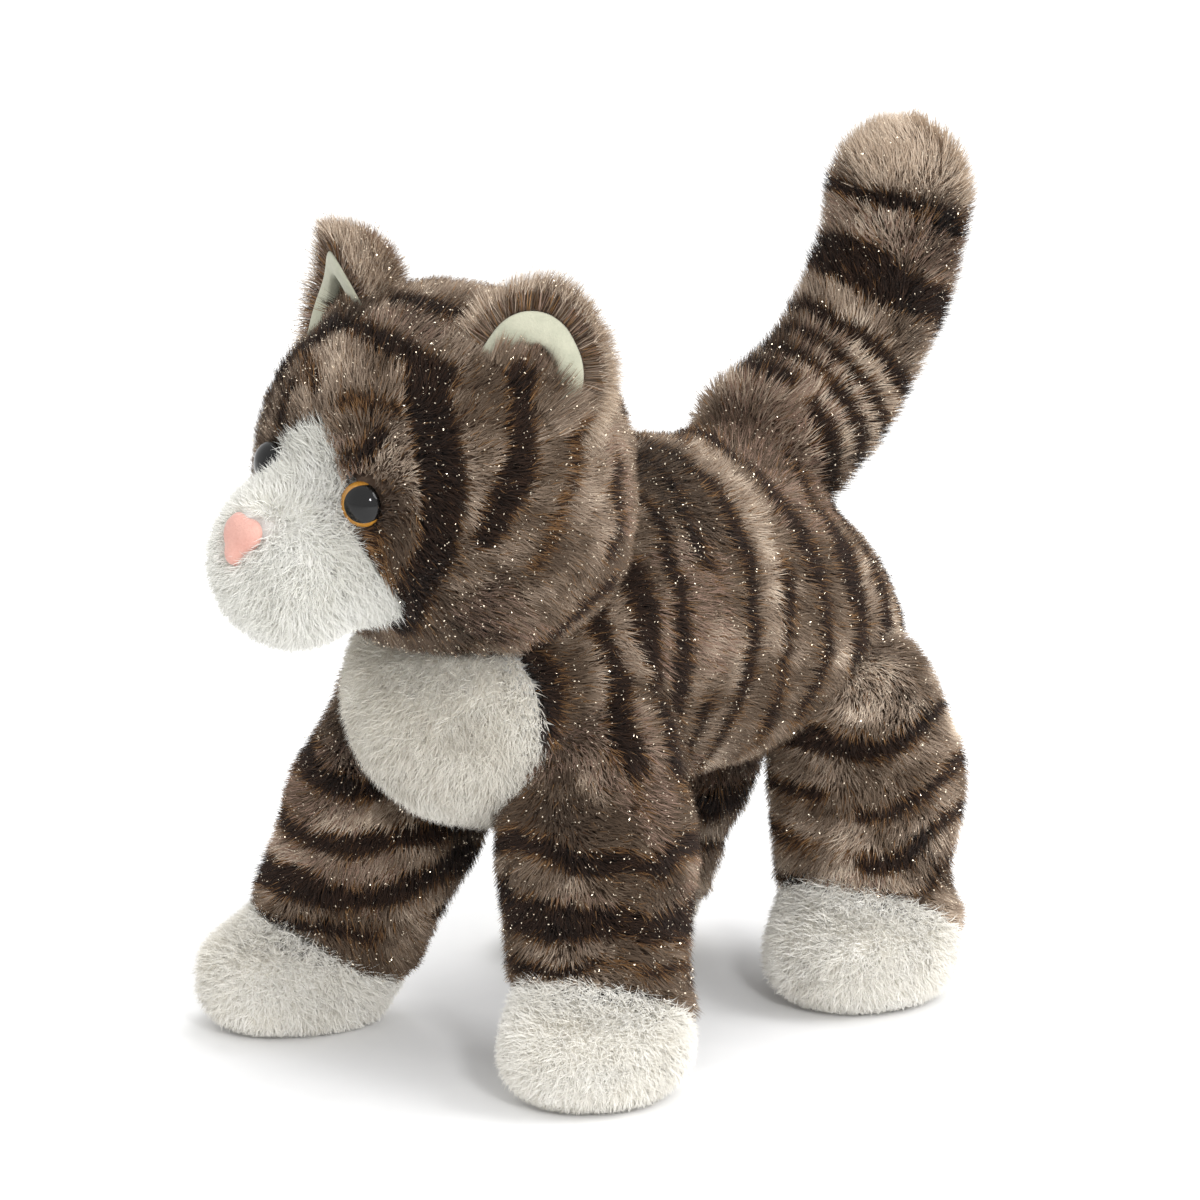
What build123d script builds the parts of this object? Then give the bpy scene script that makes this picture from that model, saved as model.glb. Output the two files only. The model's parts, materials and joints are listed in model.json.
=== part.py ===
"""Plush tabby cat, standing on four legs: stuffed fur-fabric body, head, legs and tail.

Frame: the cat faces -Y, its left side is +X and +Z is up. The origin is under the middle of the
whole toy, on the surface that its four paws stand on. All sizes are in millimetres.

Soft parts are plain closed solids that fill the space of the fabric with its pile brushed out.
A skin is one solid for the fabric and its pile together. Places are written as forward, left, up:
forward is towards the face, left is the cat's own left.
"""
import math
import os

from build123d import *

os.makedirs("parts", exist_ok=True)

# ---------------------------------------------------------------- driving dimensions
PILE_WALL = 6.0            # backing fabric and pile of the fur skins
FILL_GAP = 0.25            # between a skin and the filling inside it
JOINT_GAP = 0.4            # between two pieces that move on each other

# torso: forward, height of centre, half width, half height of each oval section
TORSO_SECTIONS = [
    (68, 88, 16, 14),
    (60, 90, 29, 27),
    (42, 94, 38, 37),
    (15, 99, 41, 44),
    (-20, 102, 41, 44),
    (-50, 98, 41, 41),
    (-74, 93, 37, 34),
    (-89, 89, 27, 24),
    (-96, 87, 15, 13),
]

# head: a ball with a smaller muzzle ball on its front, turned and tilted a little
HEAD_RADIUS = 46.5
HEAD_FORWARD = 52.0
HEAD_UP = 151.5
HEAD_TURN = 7.0            # degrees, towards the cat's right
HEAD_TILT = 8.0            # degrees, left side down
MUZZLE_RADIUS = 21.5
MUZZLE_FORWARD = 45.5      # from the head's centre
MUZZLE_UP = -16.5
MUZZLE_EDGE = 0.6          # white fabric's edge beyond the muzzle ball
BLAZE_TOP = 20.0           # top of the white blaze, above the head's centre
BLAZE_HALF_WIDTH = 10.0
FACE_BEHIND = HEAD_RADIUS / 3           # rear of the white face zone, ahead of the centre
NOSE_UP = -5.5
NOSE_DEPTH = 2.0
NOSE_REACH = 30.0
NOSE_OUTLINE = [                        # left and up from the nose's middle, one half
    (0, 3.6),
    (4.55, 3.4),
    (6.5, 1.2),
    (2.9, -2.6),
    (1.2, -7.4),
    (0, -7.8),
]

# eyes: moulded domes with a shank and a press-on washer inside the head
EYE_RADIUS = 6.0
EYE_LEFT = 17.5
EYE_UP = 6.0
EYE_PROUD = 1.2            # top of the dome beyond the pile
EYE_DOME_HEIGHT = 4.2
EYE_SHANK_RADIUS = 1.9
EYE_SHANK_LENGTH = 9.0
EYE_SHANK_OVERLAP = 0.5    # shank's start inside the dome
EYE_DOME_REACH = 14.2      # depth of the cutter that trims the dome's ball
EYE_CLEARANCE = 0.15
WASHER_RADIUS = 6.5
WASHER_THICKNESS = 1.4
WASHER_FROM_END = 1.5      # washer's rear face, from the shank's end
WASHER_CLEARANCE = 0.2
WASHER_BORE = EYE_SHANK_RADIUS + 0.05

# ears: flaps sewn on along a short straight seam
EAR_BASES = {                        # forward, left, up from the head's centre
    1: (-3.0, 30.5, 32.0),
    -1: (6.0, -34.0, 30.0),
}
EAR_CHORD = (-11.0, 17.0, -16.5)     # along the seam, from the crown outwards
EAR_THICKNESS = 8.0
EAR_LINING = 1.4
EAR_HEIGHT = 22.5
EAR_WIDEST = (17.5, 8.5)   # along the seam and out from it
EAR_SHOULDER = (11.5, 18.8)
EAR_SIDE_LEAN = (0.3, 1)   # way that the ear's side leaves the seam
EAR_GROOVE_ROOM = 1.0      # beyond each end of the seam
EAR_SINK = 1.0             # seam line below the surface of the pile
EAR_ROOT_LENGTH = 30.0

# neck: firm pad of filling between head and torso
NECK_THICKNESS = 2.6
NECK_DIRECTION = (-0.62, 0.0, -0.78)
NECK_HALF_ANGLE = 40.0
NECK_CONE_SPARE = 10.0

# legs: name, hip (forward, left, up), paw (forward, left), hip ball radius
LEGS = [
    ("front_left", (28.0, 27.0, 77.0), (48.0, 49.0), 24.0),
    ("front_right", (30.0, -27.0, 77.0), (56.0, -49.0), 24.0),
    ("hind_left", (-69.0, 27.0, 71.0), (-58.0, 41.0), 24.5),
    ("hind_right", (-65.0, -27.0, 71.0), (-46.0, -38.0), 24.5),
]
LEG_RADIUS = 23.0
LEG_ROOM_ANGLE = 12.5      # degrees that a socket's mouth widens, more than the leg's swing
LEG_ROOM_REACH = 45.0
LEG_TAPER = 0.5            # the leg's end is this much wider than its top
PAW_HALF_WIDTH = 25.0
PAW_HALF_LENGTH = 28.0
PAW_FORWARD = 4.0          # paw's middle ahead of the leg's end
PAW_HEIGHT = 27.0
PAW_TOP_ROUND = 13.0
PAW_SOLE_ROUND = 6.0
PAW_LEAST_TOP_ROUND = 2.0
PAW_LEAST_SOLE_ROUND = 1.5
LEG_END_SHARE = 0.55       # the leg's end, as a share of the paw's height
CUFF_HEIGHT = 23.0         # where the white paw fabric is sewn to the leg

# tail: one bent tube with a round tip
TAIL_RADIUS = 16.5
TAIL_BALL_RADIUS = 17.0
TAIL_ROOT = (-68.5, 135.0)           # forward, up
TAIL_BEND_RADIUS = 74.0
TAIL_START_ANGLE = 20.0    # degrees above straight back
TAIL_END_ANGLE = 82.0
TAIL_ROOM_ANGLE = 17.0     # degrees that the torso's opening widens, more than the tail's wag
TAIL_ROOM_REACH = 32.0
TAIL_MOUTH_RADIUS = 7.0    # opening in the tail's root
TAIL_MOUTH_DEPTH = 4.0     # from the root ball's centre

# white bib sewn into the chest
BIB_HALF_WIDTH = 30.0
BIB_BOTTOM = 60.0
BIB_TOP = 118.0
BIB_SHOULDER = 90.0        # height below which the bib narrows
BIB_BACK = 30.0            # forward position of the bib's rearmost edge
BIB_REACH = 60.0

CUTTER_SIZE = 200.0        # flat cutters are wider than any piece they trim
TINY = 0.001               # least difference between the two ends of a taper
SHELL_LEAST_CENTRE = 4.0   # smallest half height left inside a torso section
END_INSET_SHARE = 0.8      # share of the inset used on the torso's small end sections

FILL_INSET = PILE_WALL + FILL_GAP

# the tail's bend and the forward position of the middle of the whole toy
turn = math.radians(HEAD_TURN)
tilt = math.radians(HEAD_TILT)
start_angle = math.radians(TAIL_START_ANGLE)
end_angle = math.radians(TAIL_END_ANGLE)
bend_back = TAIL_BEND_RADIUS * (math.sin(end_angle) - math.sin(start_angle))
bend_up = TAIL_BEND_RADIUS * (math.cos(start_angle) - math.cos(end_angle))
foremost = HEAD_FORWARD + MUZZLE_FORWARD * math.cos(turn) + MUZZLE_RADIUS
rearmost = TAIL_ROOT[0] - bend_back - TAIL_RADIUS
CENTRE_FORWARD = (foremost + rearmost) / 2


# ---------------------------------------------------------------- places and planes
def at(forward, left, up):
    """A point given as forward, left, up."""
    return Vector(left, CENTRE_FORWARD - forward, up)


def along(forward, left, up):
    """A direction given as forward, left, up."""
    return Vector(left, -forward, up).normalized()


def cross_plane(forward):
    """Upright plane across the body: local x is left, local y is up."""
    return Plane.XZ.offset(forward - CENTRE_FORWARD)


HEAD_CENTRE = at(HEAD_FORWARD, 0, HEAD_UP)
HEAD_AHEAD = along(math.cos(turn), -math.sin(turn), 0)
level_left = along(math.sin(turn), math.cos(turn), 0)
HEAD_LEFT = (level_left * math.cos(tilt) - Vector(0, 0, math.sin(tilt))).normalized()
HEAD_RISE = HEAD_AHEAD.cross(HEAD_LEFT).normalized()
FACE = Plane(origin=HEAD_CENTRE, x_dir=HEAD_LEFT, z_dir=HEAD_AHEAD)


def on_head(forward, left, up):
    """A point given in the head's own forward, left, up directions from its centre."""
    return HEAD_CENTRE + HEAD_AHEAD * forward + HEAD_LEFT * left + HEAD_RISE * up


def head_direction(forward, left, up):
    """A direction given in the head's own forward, left, up."""
    return (HEAD_AHEAD * forward + HEAD_LEFT * left + HEAD_RISE * up).normalized()


def ball(centre, radius):
    """A ball as a loose solid, for use with add()."""
    return Pos(centre) * Sphere(radius, mode=Mode.PRIVATE)


def rod(start, end, start_radius, end_radius):
    """A round taper from start to end as a loose solid, for use with add()."""
    way = end - start
    middle = Plane(origin=start + way * 0.5, z_dir=way.normalized())
    return middle.location * Cone(start_radius, end_radius, way.length, mode=Mode.PRIVATE)


def finish(piece, label):
    """Name a finished piece and write its file."""
    piece.part.label = label
    export_step(piece.part, f"parts/{label}.step")


# ---------------------------------------------------------------- hip and tail sockets
def leg_axis(hip, paw):
    """Hip point, paw point on the ground and the unit direction from one to the other."""
    hip_point = at(*hip)
    paw_point = at(paw[0], paw[1], 0)
    return hip_point, paw_point, (paw_point - hip_point).normalized()


def socket(hip, paw, radius):
    """The room in the torso for a leg's hip ball and its swing."""
    hip_point, _, down = leg_axis(hip, paw)
    mouth = LEG_RADIUS + JOINT_GAP + LEG_ROOM_REACH * math.tan(math.radians(LEG_ROOM_ANGLE))
    end = hip_point + down * LEG_ROOM_REACH
    with BuildPart() as room:
        add(ball(hip_point, radius + JOINT_GAP))
        add(rod(hip_point, end, LEG_RADIUS + JOINT_GAP, mouth))
    return room.part


TAIL_BALL_CENTRE = at(TAIL_ROOT[0], 0, TAIL_ROOT[1])
tail_start_way = along(-math.cos(start_angle), 0, math.sin(start_angle))
tail_room_flare = TAIL_ROOM_REACH * math.tan(math.radians(TAIL_ROOM_ANGLE))
tail_room = rod(
    TAIL_BALL_CENTRE,
    TAIL_BALL_CENTRE + tail_start_way * TAIL_ROOM_REACH,
    TAIL_RADIUS + JOINT_GAP,
    TAIL_RADIUS + JOINT_GAP + tail_room_flare,
)
DISH_RADIUS = HEAD_RADIUS + NECK_THICKNESS + 2 * JOINT_GAP

hip_sockets = [socket(hip, paw, radius) for _, hip, paw, radius in LEGS]

with BuildPart() as torso_rooms:
    add(hip_sockets)
    add(ball(TAIL_BALL_CENTRE, TAIL_BALL_RADIUS + JOINT_GAP))
    add(tail_room)
    add(ball(HEAD_CENTRE, DISH_RADIUS))


# ---------------------------------------------------------------- torso
def torso_form(inset):
    """The torso's barrel, drawn in by an inset all round."""
    with BuildPart() as form:
        first = TORSO_SECTIONS[0][0]
        last = TORSO_SECTIONS[-1][0]
        for forward, up, half_width, half_height in TORSO_SECTIONS:
            place = min(max(forward, last + inset), first - inset)
            with BuildSketch(cross_plane(place)):
                with Locations((0, up)):
                    roomy = inset < half_height - SHELL_LEAST_CENTRE
                    shrink = inset if roomy else inset * END_INSET_SHARE
                    Ellipse(half_width - shrink, half_height - shrink)
        loft()
    return form.part


torso_outside = torso_form(0)
torso_inside = torso_form(PILE_WALL)
torso_fill = torso_form(FILL_INSET)

with BuildPart() as bib_prism:
    with BuildSketch(cross_plane(BIB_BACK)):
        with BuildLine():
            Line((-BIB_HALF_WIDTH, BIB_SHOULDER), (-BIB_HALF_WIDTH, BIB_TOP))
            Line((-BIB_HALF_WIDTH, BIB_TOP), (BIB_HALF_WIDTH, BIB_TOP))
            Line((BIB_HALF_WIDTH, BIB_TOP), (BIB_HALF_WIDTH, BIB_SHOULDER))
            ThreePointArc(
                (BIB_HALF_WIDTH, BIB_SHOULDER),
                (0, BIB_BOTTOM),
                (-BIB_HALF_WIDTH, BIB_SHOULDER),
            )
        make_face()
    extrude(amount=BIB_REACH)

with BuildPart() as torso_skin:
    add(torso_outside)
    add(torso_inside, mode=Mode.SUBTRACT)
    add(torso_rooms.part, mode=Mode.SUBTRACT)

with BuildPart() as chest_panel:
    add(torso_skin.part)
    add(bib_prism.part, mode=Mode.INTERSECT)
finish(chest_panel, "chest_panel")

with BuildPart() as torso_shell:
    add(torso_skin.part)
    add(bib_prism.part, mode=Mode.SUBTRACT)
finish(torso_shell, "torso_shell")

with BuildPart() as torso_stuffing:
    add(torso_fill)
    add(torso_rooms.part, mode=Mode.SUBTRACT)
finish(torso_stuffing, "torso_stuffing")

# ---------------------------------------------------------------- neck
neck_way = along(*NECK_DIRECTION)
neck_reach = DISH_RADIUS + NECK_CONE_SPARE
neck_mouth = neck_reach * math.tan(math.radians(NECK_HALF_ANGLE))

with BuildPart() as neck_stuffing:
    add(ball(HEAD_CENTRE, HEAD_RADIUS + JOINT_GAP + NECK_THICKNESS))
    add(ball(HEAD_CENTRE, HEAD_RADIUS + JOINT_GAP), mode=Mode.SUBTRACT)
    cone = rod(HEAD_CENTRE, HEAD_CENTRE + neck_way * neck_reach, TINY, neck_mouth)
    add(cone, mode=Mode.INTERSECT)
finish(neck_stuffing, "neck_stuffing")


# ---------------------------------------------------------------- head
MUZZLE_CENTRE = on_head(MUZZLE_FORWARD, 0, MUZZLE_UP)


def head_form(inset):
    """The head ball and the muzzle ball as one form, drawn in by an inset."""
    with BuildPart() as form:
        add(ball(HEAD_CENTRE, HEAD_RADIUS - inset))
        add(ball(MUZZLE_CENTRE, MUZZLE_RADIUS - inset))
    return form.part


def ear_plane(side):
    """The ear's seam: local x along the seam, local y out of the head, local z to the front."""
    outward = head_direction(*EAR_BASES[side])
    chord = head_direction(EAR_CHORD[0], EAR_CHORD[1] * side, EAR_CHORD[2])
    chord = (chord - outward * chord.dot(outward)).normalized()
    seam = HEAD_CENTRE + outward * (HEAD_RADIUS - EAR_SINK)
    front = chord.cross(outward) * side
    return Plane(origin=seam, x_dir=chord * side, z_dir=front)


def eye_plane(side):
    """The eye's rim: local z points out along the eye's own axis."""
    distance = math.sqrt(HEAD_RADIUS**2 - EYE_LEFT**2 - EYE_UP**2)
    outward = head_direction(distance, EYE_LEFT * side, EYE_UP)
    rim = HEAD_CENTRE + outward * (HEAD_RADIUS + EYE_PROUD - EYE_DOME_HEIGHT)
    return Plane(origin=rim, z_dir=outward)


def eye_form(side, gap):
    """Dome, rim and shank of one eye, grown by a gap."""
    dome_radius = (EYE_RADIUS**2 + EYE_DOME_HEIGHT**2) / (2 * EYE_DOME_HEIGHT)
    plane = eye_plane(side)
    with BuildPart() as form:
        add(ball(plane.origin + plane.z_dir * (EYE_DOME_HEIGHT - dome_radius), dome_radius + gap))
        with BuildSketch(plane):
            Circle(EYE_RADIUS + gap)
        extrude(amount=EYE_DOME_REACH, mode=Mode.INTERSECT)
        with BuildSketch(plane.offset(EYE_SHANK_OVERLAP)):
            Circle(EYE_SHANK_RADIUS + gap)
        extrude(amount=-(EYE_SHANK_LENGTH + EYE_SHANK_OVERLAP + gap))
    return form.part


def washer_form(side, gap, bore):
    """The press-on washer at the end of an eye's shank."""
    plane = eye_plane(side).offset(WASHER_FROM_END - EYE_SHANK_LENGTH - gap)
    with BuildPart() as form:
        with BuildSketch(plane):
            Circle(WASHER_RADIUS + gap)
            Circle(bore, mode=Mode.SUBTRACT)
        extrude(amount=WASHER_THICKNESS + 2 * gap)
    return form.part


with BuildPart() as white_face_zone:
    with BuildSketch(FACE.offset(FACE_BEHIND)):
        with BuildLine():
            side = (BLAZE_HALF_WIDTH, MUZZLE_UP + MUZZLE_RADIUS)
            low_side = (BLAZE_HALF_WIDTH, MUZZLE_UP)
            Spline([(0, BLAZE_TOP), (5, 14), side], tangents=[(1, 0), (0, -1)])
            Line(side, low_side)
            Line(low_side, (0, MUZZLE_UP))
            mirror(about=Plane.YZ)
        make_face()
    extrude(amount=HEAD_RADIUS)
    add(ball(MUZZLE_CENTRE, MUZZLE_RADIUS + MUZZLE_EDGE))

nose_half = [(left, NOSE_UP + up) for left, up in NOSE_OUTLINE]
nose_place = FACE.offset(MUZZLE_FORWARD)
with BuildPart() as nose_prism:
    with BuildSketch(nose_place):
        with BuildLine():
            Spline(nose_half, tangents=[(1, 0), (-1, 0)])
            mirror(about=Plane.YZ)
        make_face()
    extrude(amount=NOSE_REACH)

ear_grooves = []
for side in (1, -1):
    groove_plane = ear_plane(side)
    half_groove = EAR_ROOT_LENGTH / 2 + EAR_GROOVE_ROOM
    start = groove_plane.origin - groove_plane.x_dir * half_groove
    end = groove_plane.origin + groove_plane.x_dir * half_groove
    groove_radius = EAR_THICKNESS / 2 + 2 * JOINT_GAP
    with BuildPart() as groove:
        add(rod(start, end, groove_radius, groove_radius + TINY))
    ear_grooves.append(groove.part)

head_outside = head_form(0)
head_inside = head_form(PILE_WALL)
head_fill = head_form(FILL_INSET)
eye_rooms = [eye_form(side, EYE_CLEARANCE) for side in (1, -1)]
washer_rooms = [washer_form(side, WASHER_CLEARANCE, WASHER_THICKNESS / 4) for side in (1, -1)]

with BuildPart() as head_skin:
    add(head_outside)
    add(head_inside, mode=Mode.SUBTRACT)
    add(eye_rooms, mode=Mode.SUBTRACT)
    add(ear_grooves, mode=Mode.SUBTRACT)

with BuildPart() as nose_patch:
    add(ball(MUZZLE_CENTRE, MUZZLE_RADIUS))
    add(ball(MUZZLE_CENTRE, MUZZLE_RADIUS - NOSE_DEPTH), mode=Mode.SUBTRACT)
    add(nose_prism.part, mode=Mode.INTERSECT)
finish(nose_patch, "nose_patch")

with BuildPart() as muzzle_panel:
    add(head_skin.part)
    add(white_face_zone.part, mode=Mode.INTERSECT)
    add(nose_patch.part, mode=Mode.SUBTRACT)
finish(muzzle_panel, "muzzle_panel")

with BuildPart() as head_shell:
    add(head_skin.part)
    add(white_face_zone.part, mode=Mode.SUBTRACT)
finish(head_shell, "head_shell")

with BuildPart() as head_stuffing:
    add(head_fill)
    add(eye_rooms, mode=Mode.SUBTRACT)
    add(washer_rooms, mode=Mode.SUBTRACT)
finish(head_stuffing, "head_stuffing")

for side, name in ((1, "left"), (-1, "right")):
    eye_solid = eye_form(side, 0)
    washer_solid = washer_form(side, 0, WASHER_BORE)
    with BuildPart() as eye:
        add(eye_solid)
    finish(eye, f"eye_{name}")
    with BuildPart() as washer:
        add(washer_solid)
    finish(washer, f"eye_washer_{name}")


# ---------------------------------------------------------------- ears
def ear_outline(plane):
    """The ear's face: straight sides at the seam and a round top."""
    root = EAR_ROOT_LENGTH / 2
    with BuildSketch(plane) as face:
        with BuildLine():
            Line((0, 0), (root, 0))
            Spline(
                [(root, 0), EAR_WIDEST, EAR_SHOULDER, (0, EAR_HEIGHT)],
                tangents=[EAR_SIDE_LEAN, (-1, 0)],
            )
            mirror(about=Plane.YZ)
        make_face()
    return face.sketch


for side, name in ((1, "left"), (-1, "right")):
    seam = ear_plane(side)
    outline = ear_outline(seam.offset(-EAR_THICKNESS / 2))
    root_start = seam.origin - seam.x_dir * (EAR_ROOT_LENGTH / 2)
    root_end = seam.origin + seam.x_dir * (EAR_ROOT_LENGTH / 2)
    with BuildPart() as ear_back:
        extrude(outline, amount=EAR_THICKNESS - EAR_LINING, dir=seam.z_dir)
        add(rod(root_start, root_end, EAR_THICKNESS / 2, EAR_THICKNESS / 2 - TINY))
        with BuildSketch(seam.offset(EAR_THICKNESS / 2 - EAR_LINING)):
            Rectangle(CUTTER_SIZE, CUTTER_SIZE)
        extrude(amount=EAR_THICKNESS, mode=Mode.SUBTRACT)
    finish(ear_back, f"ear_{name}_back")

    lining_outline = ear_outline(seam.offset(EAR_THICKNESS / 2 - EAR_LINING))
    with BuildPart() as ear_lining:
        extrude(lining_outline, amount=EAR_LINING, dir=seam.z_dir)
    finish(ear_lining, f"ear_{name}_lining")


# ---------------------------------------------------------------- legs
def leg_form(hip, paw, radius, inset):
    """One whole leg: hip ball, round leg and paw, drawn in by an inset."""
    hip_point, paw_point, down = leg_axis(hip, paw)
    sole = Plane(origin=paw_point + along(1, 0, 0) * PAW_FORWARD + Vector(0, 0, inset))
    leg_end = paw_point - down * (PAW_HEIGHT * LEG_END_SHARE)
    with BuildPart() as form:
        with BuildSketch(sole):
            Ellipse(PAW_HALF_WIDTH - inset, PAW_HALF_LENGTH - inset)
        extrude(amount=PAW_HEIGHT - 2 * inset)
        top_edges = form.edges().group_by(Axis.Z)[-1]
        fillet(top_edges, radius=max(PAW_TOP_ROUND - inset, PAW_LEAST_TOP_ROUND))
        sole_edges = form.edges().group_by(Axis.Z)[0]
        fillet(sole_edges, radius=max(PAW_SOLE_ROUND - inset, PAW_LEAST_SOLE_ROUND))
        add(rod(hip_point, leg_end, LEG_RADIUS - inset, LEG_RADIUS - inset + LEG_TAPER))
        add(ball(hip_point, radius - inset))
    return form.part


def below_cuff(hip, paw):
    """The half space below the seam between the striped leg and the white paw."""
    hip_point, paw_point, down = leg_axis(hip, paw)
    cuff_point = paw_point - down * (CUFF_HEIGHT / -down.Z)
    cuff = Plane(origin=cuff_point, z_dir=down)
    with BuildPart() as space:
        with BuildSketch(cuff):
            Rectangle(CUTTER_SIZE, CUTTER_SIZE)
        extrude(amount=CUTTER_SIZE / 2)
    return space.part


for name, hip, paw, radius in LEGS:
    outside = leg_form(hip, paw, radius, 0)
    inside = leg_form(hip, paw, radius, PILE_WALL)
    fill = leg_form(hip, paw, radius, FILL_INSET)
    under = below_cuff(hip, paw)

    with BuildPart() as leg_shell:
        add(outside)
        add(inside, mode=Mode.SUBTRACT)
        add(under, mode=Mode.SUBTRACT)
    finish(leg_shell, f"{name}_leg_shell")

    with BuildPart() as paw_shell:
        add(outside)
        add(inside, mode=Mode.SUBTRACT)
        add(under, mode=Mode.INTERSECT)
    finish(paw_shell, f"{name}_paw_shell")

    with BuildPart() as leg_stuffing:
        add(fill)
        add(under, mode=Mode.SUBTRACT)
    finish(leg_stuffing, f"{name}_leg_stuffing")

    with BuildPart() as paw_pellets:
        add(fill)
        add(under, mode=Mode.INTERSECT)
    finish(paw_pellets, f"{name}_paw_pellets")


# ---------------------------------------------------------------- tail
TAIL_TIP_CENTRE = at(TAIL_ROOT[0] - bend_back, 0, TAIL_ROOT[1] + bend_up)


def tail_form(inset):
    """The tail's bent tube with its root ball and round tip, drawn in by an inset."""
    radius = TAIL_RADIUS - inset
    with BuildPart() as form:
        with BuildLine() as path:
            TangentArc(TAIL_BALL_CENTRE, TAIL_TIP_CENTRE, tangent=tail_start_way)
        with BuildSketch(Plane(origin=TAIL_BALL_CENTRE, z_dir=tail_start_way)):
            Circle(radius)
        sweep(path=path.wires()[0])
        add(ball(TAIL_TIP_CENTRE, radius))
        add(ball(TAIL_BALL_CENTRE, TAIL_BALL_RADIUS - inset))
    return form.part


root_opening = rod(
    TAIL_BALL_CENTRE - tail_start_way * (TAIL_BALL_RADIUS + TAIL_MOUTH_DEPTH),
    TAIL_BALL_CENTRE - tail_start_way * TAIL_MOUTH_DEPTH,
    TAIL_MOUTH_RADIUS,
    TAIL_MOUTH_RADIUS + TINY,
)
tail_outside = tail_form(0)
tail_inside = tail_form(PILE_WALL)
tail_fill = tail_form(FILL_INSET)

with BuildPart() as tail_shell:
    add(tail_outside)
    add(tail_inside, mode=Mode.SUBTRACT)
    add(root_opening, mode=Mode.SUBTRACT)
finish(tail_shell, "tail_shell")

with BuildPart() as tail_stuffing:
    add(tail_fill)
finish(tail_stuffing, "tail_stuffing")
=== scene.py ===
"""Looks of the plush tabby cat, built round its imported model.

Every length below is in millimetres and becomes metres when a mesh is made. The cat faces -Y, its
left is +X, up is +Z. Skins are closed forms meshed from distance fields, and the pile on them is made
of short tapered blades, one mesh for each region.
"""
import json
import math

import bpy
import numpy as np
import openvdb
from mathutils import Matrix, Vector


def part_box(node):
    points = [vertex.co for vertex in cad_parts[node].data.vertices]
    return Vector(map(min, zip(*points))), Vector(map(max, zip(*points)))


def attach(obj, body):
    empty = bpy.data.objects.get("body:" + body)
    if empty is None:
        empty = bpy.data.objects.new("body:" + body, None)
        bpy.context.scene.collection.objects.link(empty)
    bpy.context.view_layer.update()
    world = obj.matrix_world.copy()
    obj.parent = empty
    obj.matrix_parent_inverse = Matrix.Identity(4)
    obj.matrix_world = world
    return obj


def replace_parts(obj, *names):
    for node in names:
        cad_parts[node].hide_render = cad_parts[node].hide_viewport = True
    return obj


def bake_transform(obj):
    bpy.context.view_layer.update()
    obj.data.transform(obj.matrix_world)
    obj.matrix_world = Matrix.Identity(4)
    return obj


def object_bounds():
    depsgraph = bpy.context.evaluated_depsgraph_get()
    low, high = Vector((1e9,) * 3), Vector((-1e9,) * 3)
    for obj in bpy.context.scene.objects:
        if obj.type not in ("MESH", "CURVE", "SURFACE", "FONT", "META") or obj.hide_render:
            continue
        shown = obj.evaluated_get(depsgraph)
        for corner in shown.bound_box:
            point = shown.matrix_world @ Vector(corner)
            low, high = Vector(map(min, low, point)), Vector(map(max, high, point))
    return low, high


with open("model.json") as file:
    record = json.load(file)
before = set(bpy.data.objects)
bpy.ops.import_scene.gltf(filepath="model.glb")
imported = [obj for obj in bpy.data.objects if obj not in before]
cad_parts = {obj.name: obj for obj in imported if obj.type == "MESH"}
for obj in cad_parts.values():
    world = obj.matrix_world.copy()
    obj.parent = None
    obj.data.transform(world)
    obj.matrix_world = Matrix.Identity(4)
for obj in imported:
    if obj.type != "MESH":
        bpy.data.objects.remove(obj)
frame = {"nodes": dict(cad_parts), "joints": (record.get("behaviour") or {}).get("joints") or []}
CAD_BOX = [list(c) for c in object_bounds()]
MM = 0.001
PIVOT = {j["name"]: np.array(j["pos_m"]) / MM for j in frame["joints"]}
HINGE = {j["name"]: np.array(j["axis"], float) for j in frame["joints"]}

# ---------------------------------------------------------------- sizes
PILE = 4.0                 # depth of the skin below the brushed surface of the pile
TORSO_SECTIONS = [         # forward, height of centre, half width, half height
    (68, 88, 16, 14),
    (60, 90, 29, 27),
    (42, 94, 38, 37),
    (15, 99, 41, 44),
    (-20, 102, 41, 44),
    (-50, 97, 40.5, 40),
    (-74, 90.5, 35.5, 31.5),
    (-89, 85, 25, 21.5),
    (-96, 83, 13, 11),
]
HEAD_RADIUS = 46.5
HEAD_FORWARD = 52.0
HEAD_TURN = math.radians(7.0)
HEAD_TILT = math.radians(8.0)
MUZZLE_CENTRE = (45.0, 0.0, -16.0)
MUZZLE_RADII = (21.5, 23.0, 23.0)
JOWL_CENTRE = (-9.5, 15.5, -13.0)
JOWL_RADIUS = 29.0
# forward and left of the paw, hip's radius, paw's size, rings (height, half width), how far the thigh
# is set back, cuff's slope
LEGS = {
    "front_left": ((46.5, 49.3), 24.0, 0.95, ((32, 1.2), (44, 5.0), (60, 2.4)), 1.0, 0.4),
    "front_right": ((55.5, -49.0), 24.0, 0.87, ((30, 2.4), (42, 4.0), (56, 2.6), (70, 2.6)), 0.0, 0.1),
    "hind_left": ((-60.0, 42.0), 22.0, 0.98, ((31, 1.5), (42, 2.5), (54.5, 1.8), (69, 3.0)), 6.0, 0.58),
    "hind_right": ((-46.0, -38.0), 23.0, 0.92, ((31, 2.2), (44, 3.6), (58, 2.4), (72, 3.0)), 3.0, 0.3),
}
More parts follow.
